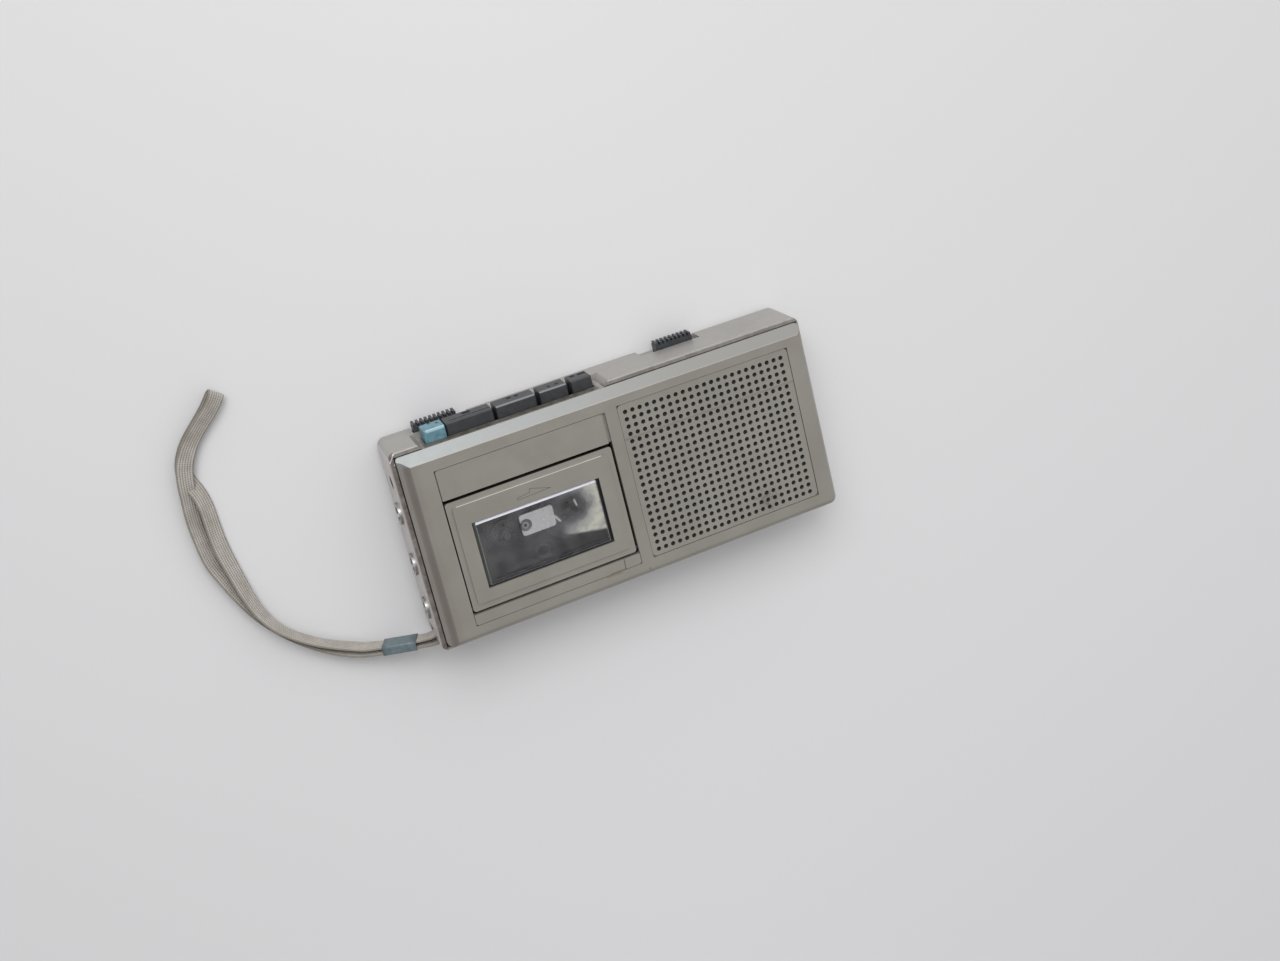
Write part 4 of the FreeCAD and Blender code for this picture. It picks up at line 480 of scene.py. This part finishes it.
def crisp(name, width, angle=35.0):
    """A small rounding on a CAD node's hard edges, which catches the light."""
    bevel = nodes[name].modifiers.new("edge", "BEVEL")
    bevel.width = width * MM
    bevel.segments = 2
    bevel.limit_method = "ANGLE"
    bevel.angle_limit = math.radians(angle)
    bevel.harden_normals = True


def patchy(paint):
    """How thick the painted shade and dirt lie: about half in some places and whole in others."""
    return paint.span(paint.noise(300.0, 5.0, 0.7), 0.35, 0.6, 0.45, 1.0)


def front_dirt_and_painted_light(paint, tone):
    """Painted shade with grime in the seam, painted shade on the left ridge, a painted reflection on the
    bevel along the keys, soft painted shade round the edges, rust and a spot.
    """
    # Painted shade with grime in the seam at the left end.
    seam_shade_and_grime = paint.both(paint.band("X", -70.0, -67.2, 0.2), paint.band("Z", 15.0, 21.8, 0.3))
    tone = paint.tint(tone, seam_shade_and_grime, 0.8, GRIME_AND_SHADE)
    # Painted shade on the left ridge, where the paint mirrors a dark part of the room.
    left_ridge_shade = paint.band("X", -66.0, -64.4, 0.7)
    tone = paint.tint(tone, left_ridge_shade, 0.42, (0.15, 0.118, 0.105))
    left_slope = paint.band("X", -68.0, -62.4, 1.2)
    tone = paint.tint(tone, left_slope, 0.12, SOFT_SHADE)
    # Painted reflection on the far bevel: cooler at the left and darker towards the right.
    film_and_sheen = paint.mix(
        paint.span(paint.axis("X"), -0.06, 0.03), (0.272, 0.290, 0.292), (0.222, 0.222, 0.213)
    )
    far_bevel = paint.both(paint.band("Y", 27.25, 31.0, 0.12), paint.band("Z", 20.8, 25.0, 0.1))
    tone = paint.tint(tone, far_bevel, 0.9, film_and_sheen)
    near_edge = paint.band("Y", -40.0, -32.3, 0.9)
    tone = paint.tint(tone, near_edge, 0.25, SOFT_SHADE)
    rust = paint.stroke((-14.0, -28.95, 24.0), (-8.9, -29.2, 24.0), 0.5, 0.9)
    tone = paint.tint(tone, rust, 0.4, RUST)
    spot = paint.near((0.0003, -0.0313, 0.024), 0.0007)
    return paint.tint(tone, spot, 0.5, (0.12, 0.09, 0.07))


def rear_dirt_and_painted_light(paint, tone):
    """A paler left end that is painted light, painted shade with dirt along the rims, and two painted
    highlights at the far left corner.
    """
    # Painted light: the left end is made paler.
    left_face_painted_light = paint.band("X", -71.0, -69.25, 0.2)
    tone = paint.tint(tone, left_face_painted_light, 0.7, (0.60, 0.565, 0.545))
    # Painted shade with dirt along the left and far rims.
    left_rim_shade_and_dirt = paint.both(
        paint.band("X", -69.1, -67.6, 0.2), paint.band("Z", 19.8, 22.0, 0.3), patchy(paint)
    )
    tone = paint.tint(tone, left_rim_shade_and_dirt, 0.85, (0.105, 0.078, 0.065))
    far_rim_shade_and_dirt = paint.both(
        paint.band("Y", 30.4, 32.0, 0.15), paint.band("Z", 20.3, 22.0, 0.2), patchy(paint)
    )
    tone = paint.tint(tone, far_rim_shade_and_dirt, 0.55, (0.10, 0.080, 0.066))
    # Two painted highlights on the rounding of the far left corner.
    for shift in (0.0, 1.1):
        corner_highlight = paint.stroke(
            (-69.2 + shift, 29.4 - shift, 20.75), (-67.6 + shift, 31.6 - shift, 20.75), 0.28, 0.6
        )
        tone = paint.tint(tone, corner_highlight, 0.85, (0.85, 0.84, 0.83))
    return tone


def cabinet_finish(name, dark, light, dirt_and_painted_light, pieces):
    """Satin paint for one half of the cabinet, with painted shade under the keys and that half's dirt
    and painted light.
    """
    paint = Paint(name)
    cloud = paint.noise(55.0, 3.0, 0.6)
    grain = paint.noise(3500.0, 2.0, 0.6)
    scuffs = paint.noise(420.0, 6.0, 0.7)
    tone = paint.mix(paint.span(cloud, 0.35, 0.65), dark, light)
    tone = paint.mix(paint.span(scuffs, 0.66, 0.74, 0.0, 0.3), tone, SCUFFED)
    # Painted shade that the keys cast on the ledge before them, patchy like grime.
    key_ledge_shade = paint.both(
        paint.band("X", -58.0, -0.5, 0.6),
        paint.band("Y", 28.5, 31.25, 0.1),
        paint.band("Z", 10.0, 20.6, 0.1),
        patchy(paint),
    )
    paint.set(
        Base_Color=dirt_and_painted_light(paint, paint.tint(tone, key_ledge_shade, 0.85, GRIME_AND_SHADE)),
        Roughness=paint.span(scuffs, 0.3, 0.7, 0.34, 0.46),
        Metallic=0.5,
        Normal=paint.bump(grain, PAINT_GRAIN, 0.35),
    )
    assign(paint.material, *pieces)


cabinet_finish(
    "front_moulding",
    dark=(0.285, 0.268, 0.240),
    light=(0.315, 0.298, 0.268),
    dirt_and_painted_light=front_dirt_and_painted_light,
    pieces=("front_cabinet",),
)
cabinet_finish(
    "rear_moulding",
    dark=(0.345, 0.330, 0.315),
    light=(0.375, 0.360, 0.343),
    dirt_and_painted_light=rear_dirt_and_painted_light,
    pieces=("rear_cabinet", "battery_cover"),
)
crisp("front_cabinet", 0.25)
crisp("rear_cabinet", 0.25)
crisp("battery_cover", 0.2)

# Front panels: grille, door and the two let-in plates, thin mouldings in silver-grey satin paint
# that clip or hinge into the front half. The door carries a printed outline of an arrow, and the
# plate below it has a fine crack with rust-brown dirt beside it.
PANEL_DARK = (0.285, 0.272, 0.245)
PANEL_LIGHT = (0.315, 0.302, 0.272)
ARROW = (
    (-35.38, 6.63), (-31.22, 7.06), (-30.9, 8.29), (-24.48, 6.3), (-35.28, 5.95), (-35.38, 6.63)
)
panel_paint = Paint("silver_panel")
panel_cloud = panel_paint.noise(70.0, 3.0, 0.6)
panel_grain = panel_paint.noise(4200.0, 2.0, 0.6)
specks = panel_paint.noise(650.0, 6.0, 0.75)
panel_tone = panel_paint.mix(panel_paint.span(panel_cloud, 0.35, 0.65), PANEL_DARK, PANEL_LIGHT)
smudge = panel_paint.near((0.0441, -0.0236, 0.0238), 0.0042, ragged=0.003)
panel_tone = panel_paint.tint(panel_tone, smudge, 0.5, (0.12, 0.10, 0.085))
crack_rust = panel_paint.stroke((-12.5, -28.3, 24.0), (-7.5, -28.4, 24.0), 0.45, 0.9)
panel_tone = panel_paint.tint(panel_tone, crack_rust, 0.45, RUST)
crack = panel_paint.stroke((-7.35, -25.3, 24.0), (-7.5, -28.6, 24.0), 0.2, 0.5)
panel_tone = panel_paint.tint(panel_tone, crack, 0.8, (0.07, 0.05, 0.04))
# A painted highlight along the top edge of the door's raised middle.
door_edge_highlight = panel_paint.stroke((-54.0, 10.65, 24.2), (-6.5, 10.65, 24.2), 0.36, 0.5)
panel_tone = panel_paint.tint(panel_tone, door_edge_highlight, 0.85, (0.88, 0.86, 0.80))
# Painted shade in the gap above the door.
gap_shade = panel_paint.both(
    panel_paint.band("Y", 12.1, 12.9, 0.12), panel_paint.band("Z", 15.0, 23.7, 0.12)
)
panel_tone = panel_paint.tint(panel_tone, gap_shade, 0.9, (0.03, 0.025, 0.02))
for first, second in zip(ARROW, ARROW[1:]):
    arrow_line = panel_paint.stroke((*first, 24.3), (*second, 24.3), 0.13, 0.6)
    panel_tone = panel_paint.tint(panel_tone, arrow_line, 0.65, (0.055, 0.05, 0.045))
panel_tone = panel_paint.mix(
    panel_paint.span(specks, 0.68, 0.76, 0.0, 0.4), panel_tone, (0.16, 0.14, 0.12)
)
panel_paint.set(
    Base_Color=panel_tone,
    Roughness=panel_paint.span(specks, 0.3, 0.7, 0.36, 0.46),
    Metallic=0.5,
    Normal=panel_paint.bump(panel_grain, PAINT_GRAIN, 0.3),
)
for name, rounding in (
    ("grille_plate", 0.08), ("cassette_door", 0.3), ("head_cover_plate", 0.1), ("hinge_cover_plate", 0.1)
):
    assign(panel_paint.material, name)
    crisp(name, rounding)

# Door window: a slab of smoked acrylic with bevelled edges, let in from behind the door. The far
# bevel carries a painted white highlight and the other bevels painted shade, and a painted pale glare
# with two painted glints lies over the right end, with scratches through it.
WINDOW_TOP = 24.4
GLARE_CLEARING = (-0.01905, -0.00252, 0.0244)
FAINT_RING = (-0.03168, -0.01255, 0.0244)
acrylic = Paint("window_acrylic")
slant = acrylic.math(
    "ADD", acrylic.axis("Y"), acrylic.math("MULTIPLY", acrylic.axis("X"), 0.1856)
)
# Painted glare: a pale cream patch over the right end, clear round one spot.
painted_glare = acrylic.both(
    acrylic.span(acrylic.distance(GLARE_CLEARING), 0.0030, 0.0098, smooth=True),
    acrylic.span(slant, -0.0153, -0.0141, smooth=True),
    acrylic.span(acrylic.axis("X"), -0.0265, -0.0150, smooth=True),
    acrylic.band("X", -30.0, -10.2, 0.3),
    acrylic.span(acrylic.noise(420.0, 6.0, 0.7), 0.35, 0.6, 0.45, 1.05),
)
# Two painted glints, laid into the glare.
for first, second, radius in (
    ((-25.4, -3.2), (-24.2, -5.1), 0.75),
    ((-18.25, -0.2), (-17.85, -2.1), 0.55),
):
    glint = acrylic.stroke((*first, WINDOW_TOP), (*second, WINDOW_TOP), radius, 0.98)
    painted_glare = acrylic.math("MAXIMUM", painted_glare, acrylic.math("MULTIPLY", glint, 0.6))
for first, second in (
    ((-14.3, -4.6), (-12.2, -1.2)),
    ((-13.4, -3.9), (-12.6, 0.2)),
    ((-16.5, -9.6), (-13.6, -8.3)),
):
    scratch = acrylic.stroke((*first, WINDOW_TOP), (*second, WINDOW_TOP), 0.2, 0.8)
    kept_glare = acrylic.math("SUBTRACT", 1.0, acrylic.math("MULTIPLY", scratch, 0.5))
    painted_glare = acrylic.math("MULTIPLY", painted_glare, kept_glare)
film_and_sheen = acrylic.math("MULTIPLY", acrylic.span(acrylic.noise(170.0, 4.0, 0.62), 0.38, 0.66), 0.04)
from_ring = acrylic.distance(FAINT_RING)
faint_ring = acrylic.both(
    acrylic.span(from_ring, 0.0018, 0.0021, smooth=True),
    acrylic.span(from_ring, 0.0021, 0.0024, 1.0, 0.0, smooth=True),
)
film_and_sheen = acrylic.math("ADD", film_and_sheen, acrylic.math("MULTIPLY", faint_ring, 0.06))
opaque = acrylic.math("MAXIMUM", acrylic.math("MULTIPLY", painted_glare, 0.62), film_and_sheen)
window_tone = acrylic.mix(
    acrylic.span(acrylic.noise(190.0, 3.0, 0.6), 0.42, 0.62), (0.965, 0.965, 0.985), (0.91, 0.92, 0.96)
)
window_tone = acrylic.mix(painted_glare, window_tone, (0.66, 0.66, 0.55))
# Painted light on the bevels: a white highlight on the far one and painted shade on the others.
far_bevel = acrylic.both(acrylic.band("Y", 2.95, 6.0, 0.1), acrylic.band("X", -49.9, -9.8, 0.3))
right_bevel = acrylic.band("X", -10.15, -7.0, 0.15)
left_bevel = acrylic.band("X", -53.0, -49.9, 0.12)
near_bevel = acrylic.band("Y", -20.0, -17.25, 0.12)
for bevel, bevel_tone, cover in (
    (far_bevel, (0.74, 0.74, 0.82), 0.75),
    (right_bevel, (0.02, 0.02, 0.022), 0.95),
    (left_bevel, (0.085, 0.095, 0.085), 0.8),
    (near_bevel, (0.035, 0.035, 0.042), 0.8),
):
    window_tone = acrylic.mix(bevel, window_tone, bevel_tone)
    opaque = acrylic.math("MAXIMUM", opaque, acrylic.math("MULTIPLY", bevel, cover))
rubbed = acrylic.noise(1.0, 2.0, 0.5, acrylic.stretched((2600.0, 240.0, 240.0)))
acrylic.set(
    Base_Color=window_tone,
    Transmission_Weight=acrylic.span(opaque, 0.0, 1.0, 1.0, 0.0),
    IOR=1.49,
    Specular_IOR_Level=0.2,
    Roughness=acrylic.span(acrylic.noise(260.0, 4.0, 0.6), 0.35, 0.75, 0.0, 0.06),
    Normal=acrylic.bump(rubbed, 0.000006, 0.3),
)
assign(acrylic.material, "door_window")

# Keys and sliders: hard glossy plastic, dark blue-grey, with the record key in light blue. Each
# key is one moulding on its own stem, with small dark symbols on the face that is pressed. Three
# of them have a painted highlight along the edge towards the front.
KEY_ROUNDING = 0.15


def key_finish(name, dark, light, ink, shine, symbols, highlighted_edges, pieces):
    """Glossy plastic with printed symbols and painted highlights along the front edges."""
    paint = Paint(name)
    dust = paint.noise(520.0, 5.0, 0.7)
    tone = paint.mix(paint.span(dust, 0.35, 0.7), dark, light)
    printed = 0.0
    for left, right, low, high in symbols:
        bar = paint.both(
            paint.band("X", left, right, 0.15),
            paint.band("Z", low, high, 0.25),
            paint.band("Y", 33.0, 36.0),
        )
        printed = paint.math("MAXIMUM", bar, printed)
    tone = paint.tint(tone, printed, 0.9, ink)
    # Painted highlights along the keys' front edges.
    for first, second in highlighted_edges:
        tone = paint.tint(tone, paint.stroke(first, second, 0.65, 0.5), 0.85, shine)
    paint.set(
        Base_Color=tone,
        Roughness=paint.span(dust, 0.3, 0.7, 0.32, 0.5),
        Specular_IOR_Level=paint.span(printed, 0.0, 1.0, 0.5, 0.05),
        Normal=paint.bump(paint.noise(3000.0, 2.0, 0.6), PAINT_GRAIN, 0.3),
    )
    assign(paint.material, *pieces)
    for piece in pieces:
        crisp(piece, KEY_ROUNDING)


key_finish(
    "key_plastic",
    dark=(0.021, 0.023, 0.026),
    light=(0.034, 0.037, 0.042),
    ink=(0.006, 0.006, 0.007),
    shine=(0.19, 0.195, 0.21),
    symbols=(
        (-43.1, -40.4, 11.0, 13.2),
        (-28.5, -26.9, 11.3, 12.9),
        (-25.9, -24.6, 11.5, 13.1),
        (-15.3, -14.4, 13.4, 14.8),
        (-12.7, -11.6, 13.3, 14.7),
        (-7.1, -5.5, 10.9, 12.9),
        (-4.5, -1.8, 11.0, 13.0),
    ),
    highlighted_edges=(
        ((-32.9, 34.4, 16.8), (-20.6, 34.4, 16.8)),
        ((-18.5, 34.4, 16.8), (-10.0, 34.4, 16.8)),
    ),
    pieces=("play_key", "rewind_key", "forward_key", "stop_key", "pause_slider", "volume_slider"),
)
key_finish(
    "record_key_plastic",
    dark=(0.072, 0.165, 0.200),
    light=(0.150, 0.290, 0.345),
    ink=(0.02, 0.05, 0.065),
    shine=(0.34, 0.50, 0.56),
    symbols=((-54.0, -53.2, 10.3, 11.7), (-51.8, -51.0, 11.9, 13.3)),
    highlighted_edges=(((-55.5, 33.9, 16.8), (-50.4, 33.9, 16.8)),),
    pieces=("record_key",),
)

# Steel parts of the works: drawn, turned or pressed from bright steel, plated or left bare, such
# as shafts, brackets, screws and the bar for the strap.
STEEL_PARTS = (
    "cassette_holder", "key_bracket", "speaker_magnet", "capstan_shaft", "motor", "head_bridge",
    "battery_contacts", "cabinet_screws", "strap_bar",
)


def plain(name, dark, light, rough, names, metallic=0.0, scale=400.0):
    """An even finish between two close tones, for parts that show little or not at all."""
    paint = Paint(name)
    patches = paint.noise(scale, 4.0, 0.6)
    paint.set(
        Base_Color=paint.mix(paint.span(patches, 0.3, 0.7), dark, light),
        Roughness=paint.span(patches, 0.3, 0.7, rough - 0.06, rough + 0.06),
        Metallic=metallic,
        Normal=paint.bump(paint.noise(2500.0, 2.0, 0.6), 0.00001, 0.3),
    )
    assign(paint.material, *names)


plain("steel", (0.42, 0.42, 0.43), (0.56, 0.56, 0.57), 0.3, STEEL_PARTS, metallic=1.0)

# Key springs: five coils of steel wire round the key stems, between the bracket and the keys.
# Each is pressed together by its key in the machine; here each coil has one fixed length and follows
# nothing.
WIRE_RADIUS = 0.0002
WIRE_SIDES = 8
COIL_RADIUS = 0.00215
COIL_TURNS = 4
COIL_STEPS = 96
springs_low, springs_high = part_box("key_springs")
coil_first, coil_last = springs_low[1] + WIRE_RADIUS, springs_high[1] - WIRE_RADIUS
coil_depth = (springs_low[2] + springs_high[2]) / 2
spring_paint = Paint("spring_wire")
spring_wear = spring_paint.noise(1500.0, 3.0, 0.6)
spring_paint.set(
    Base_Color=spring_paint.mix(spring_wear, (0.38, 0.38, 0.40), (0.56, 0.56, 0.57)),
    Roughness=spring_paint.span(spring_wear, 0.3, 0.7, 0.25, 0.38),
    Metallic=1.0,
)


def wire_ring(mesh, key_middle, share):
    """The wire's section at one step of its way from the bracket to the key."""
    turn = 2 * math.pi * COIL_TURNS * share
    radial = Vector((math.cos(turn), 0, math.sin(turn)))
    core = Vector((key_middle, coil_first + (coil_last - coil_first) * share, coil_depth))
    centre = core + radial * COIL_RADIUS
    ring = []
    for side in range(WIRE_SIDES):
        angle = 2 * math.pi * side / WIRE_SIDES
        outwards = radial * math.cos(angle) + Vector((0, math.sin(angle), 0))
        ring.append(mesh.verts.new(centre + outwards * WIRE_RADIUS))
    return ring


for key, left, right in (
    ("record", -56.7, -49.8),
    ("play", -49.5, -34.3),
    ("rewind", -33.3, -20.1),
    ("forward", -18.9, -9.6),
    ("stop", -8.3, -1.35),
):
    coil_mesh = bmesh.new()
    coil_rings = [
        wire_ring(coil_mesh, (left + right) / 2 * MM, step / COIL_STEPS)
        for step in range(COIL_STEPS + 1)
    ]
    for before, after in zip(coil_rings, coil_rings[1:]):
        join_rings(coil_mesh, before, after)
    coil_mesh.faces.new(coil_rings[0][::-1])
    coil_mesh.faces.new(coil_rings[-1])
    coil = finished_piece(coil_mesh, f"{key}_key_spring")
    coil.data.materials.append(spring_paint.material)
    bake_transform(coil)
    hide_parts("key_springs")

# Deck and the bright plate on it: pressed sheet, the deck blackened and the small plate left
# bright, with a ring of painted shade round the screw that holds it. Both are seen through the window.
plain(
    "black_metal",
    (0.011, 0.012, 0.015),
    (0.022, 0.023, 0.028),
    0.45,
    ("deck_plate", "door_hinge_pins"),
    metallic=0.2,
)
bright = Paint("bright_plate")
bright_patches = bright.noise(500.0, 4.0, 0.6)
bright_tone = bright.mix(
    bright.span(bright_patches, 0.3, 0.7), (0.86, 0.86, 0.84), (0.97, 0.97, 0.95)
)
from_screw = bright.distance((-0.0331, -0.0067, 0.0131))
# Painted shade in the countersink round the screw head.
countersink_shade = bright.span(from_screw, 0.0019, 0.0021, 1.0, 0.0, smooth=True)
bright.set(
    Base_Color=bright.tint(bright_tone, countersink_shade, 0.8, (0.06, 0.06, 0.06)),
    Roughness=bright.span(bright_patches, 0.3, 0.7, 0.25, 0.4),
    Metallic=0.85,
)
assign(bright.material, "bright_plate")

# Deck screws: cross-headed steel screws. The one that shows through the window sits in the
# bright plate, with painted shade in its cross and round the edge of its head.
screw_paint = Paint("deck_screw")
screw_patches = screw_paint.noise(700.0, 4.0, 0.6)
screw_tone = screw_paint.mix(
    screw_paint.span(screw_patches, 0.3, 0.7), (0.42, 0.42, 0.42), (0.60, 0.60, 0.59)
)
from_centre = screw_paint.distance((-0.03325, -0.00673, 0.01305))
cross_shade = screw_paint.span(from_centre, 0.00045, 0.00065, 1.0, 0.0, smooth=True)
screw_tone = screw_paint.tint(screw_tone, cross_shade, 0.9, (0.03, 0.03, 0.03))
head_edge_shade = screw_paint.both(
    screw_paint.span(from_centre, 0.00105, 0.00120, smooth=True),
    screw_paint.span(from_centre, 0.0030, 0.0040, 1.0, 0.0),
)
screw_paint.set(
    Base_Color=screw_paint.tint(screw_tone, head_edge_shade, 0.7, (0.06, 0.06, 0.06)),
    Roughness=screw_paint.span(screw_patches, 0.3, 0.7, 0.35, 0.5),
    Metallic=0.3,
)
assign(screw_paint.material, "deck_screws")

# Black plastic parts: moulded nylon and ABS, such as sockets, spindles, trays and switch bodies,
# screwed or clipped in place. They have a fine matt grain.
BLACK_PARTS = (
    "pause_switch", "volume_control", "speaker_basket", "board_pillars", "supply_spindle",
    "takeup_spindle", "erase_head", "earphone_socket", "microphone_socket", "remote_socket",
    "power_socket", "battery_tray",
)
plain("black_plastic", (0.018, 0.018, 0.02), (0.03, 0.03, 0.033), 0.45, BLACK_PARTS)

# Socket nuts: turned rings of nickel-plated brass, screwed on the sockets from outside. The
# plating has dulled, with dirt in its pits.
plain(
    "nickel", (0.26, 0.25, 0.24), (0.52, 0.51, 0.50), 0.36, ("socket_nuts",), metallic=1.0, scale=1100.0
)

# Soft and moulded small parts: speaker cone of pressed paper, rubber belt, roller and microphone
# cup, and the black cloth glued behind the grille.
RUBBER_PARTS = ("microphone_cup", "drive_belt", "pinch_roller")
plain("paper", (0.02, 0.02, 0.02), (0.035, 0.034, 0.033), 0.9, ("speaker_cone",))
plain("rubber", (0.02, 0.02, 0.02), (0.035, 0.035, 0.036), 0.75, RUBBER_PARTS)
plain("black_cloth", (0.006, 0.006, 0.006), (0.011, 0.011, 0.012), 0.95, ("grille_cloth",))

# Other works: aluminium microphone can, resin circuit board, a plastic gear painted dark grey as
# painted shade, brass flywheel and pulley, polished record head and the sleeves of the two battery
# cells.
BRASS_PARTS = ("capstan_bush", "flywheel", "motor_pulley")
plain("aluminium", (0.6, 0.6, 0.6), (0.72, 0.72, 0.72), 0.35, ("microphone_capsule",), metallic=1.0)
plain("board_resin", (0.05, 0.11, 0.04), (0.08, 0.15, 0.06), 0.5, ("circuit_board",))
# The gear's dark grey is painted shade.
plain("gear_plastic", (0.030, 0.031, 0.040), (0.055, 0.057, 0.070), 0.5, ("takeup_gear",))
plain("brass", (0.55, 0.42, 0.2), (0.68, 0.54, 0.28), 0.3, BRASS_PARTS, metallic=1.0)
plain("chrome", (0.6, 0.6, 0.6), (0.78, 0.78, 0.78), 0.15, ("record_head",), metallic=1.0)
plain("cell_label", (0.12, 0.14, 0.17), (0.2, 0.22, 0.25), 0.35, ("battery_cells",), metallic=0.4)

# Table: a pale matt sheet that the machine lies on, with painted shade making it a touch darker
# towards the near edge and to the left. It is part of the surroundings and not of the object.
TABLE_REACH = 4.0
TABLE_GAP = 0.0002
table_mesh = bpy.data.meshes.new("table")
table_mesh.from_pydata(
    [
        (-TABLE_REACH, -TABLE_REACH, 0),
        (TABLE_REACH, -TABLE_REACH, 0),
        (TABLE_REACH, TABLE_REACH, 0),
        (-TABLE_REACH, TABLE_REACH, 0),
    ],
    [],
    [(0, 1, 2, 3)],
)
table = bpy.data.objects.new("table", table_mesh)
table.location.z = -TABLE_GAP
bpy.context.scene.collection.objects.link(table)
table_paint = Paint("table_white")
table_tone = table_paint.mix(
    table_paint.span(table_paint.axis("Y"), -0.25, 0.2), (0.650, 0.652, 0.668), (0.672, 0.672, 0.676)
)
table_tone = table_paint.mix(
    table_paint.span(table_paint.axis("X"), -0.32, 0.03, smooth=True), (0.575, 0.573, 0.582), table_tone
)
table_fleck = table_paint.span(table_paint.noise(900.0, 3.0, 0.6), 0.3, 0.7, 0.0, 0.02)
table_tone = table_paint.mix(table_fleck, table_tone, (0.5, 0.5, 0.5))
table_paint.set(Base_Color=table_tone, Roughness=0.7, Specular_IOR_Level=0.2)
table_mesh.materials.append(table_paint.material)

# Room and window: soft daylight from the far side and above, with a dim room to the left and
# front, which is what the metallic paint mirrors.
world = bpy.data.worlds.new("room")
bpy.context.scene.world = world
world.use_nodes = True
sky = world.node_tree
view_way = sky.nodes.new("ShaderNodeTexCoord").outputs["Generated"]


def light_towards(way, low, high, dim, full, interpolation="LINEAR"):
    """The room's light, which grows from dim to full the more one looks towards one side."""
    turned = sky.nodes.new("ShaderNodeVectorMath")
    turned.operation = "DOT_PRODUCT"
    turned.inputs[1].default_value = way
    sky.links.new(view_way, turned.inputs[0])
    level = sky.nodes.new("ShaderNodeMapRange")
    level.interpolation_type = interpolation
    sky.links.new(turned.outputs["Value"], level.inputs["Value"])
    for name, number in (("From Min", low), ("From Max", high), ("To Min", dim), ("To Max", full)):
        level.inputs[name].default_value = number
    return level.outputs[0]


room_level = sky.nodes.new("ShaderNodeMath")
room_level.operation = "MULTIPLY"
far_light = light_towards((-0.15, 0.93, 0.33), 0.05, 1.0, 0.5, 1.35, "SMOOTHSTEP")
right_light = light_towards((0.9, 0.1, 0.3), -0.5, 0.6, 0.55, 1.2)
sky.links.new(far_light, room_level.inputs[0])
sky.links.new(right_light, room_level.inputs[1])
sky.nodes["Background"].inputs["Color"].default_value = (1.0, 0.988, 0.982, 1.0)
sky.links.new(room_level.outputs[0], sky.nodes["Background"].inputs["Strength"])

window_data = bpy.data.lights.new("window_side", "AREA")
window_data.shape = "RECTANGLE"
window_data.size, window_data.size_y = 0.9, 0.7
window_data.energy = 11.0
window_data.color = (0.97, 0.985, 1.0)
window_side = bpy.data.objects.new("window_side", window_data)
window_side.location = (-0.3, 0.95, 1.05)
window_side.rotation_mode = "QUATERNION"
window_side.rotation_quaternion = (-window_side.location).to_track_quat("-Z", "Y")
bpy.context.scene.collection.objects.link(window_side)
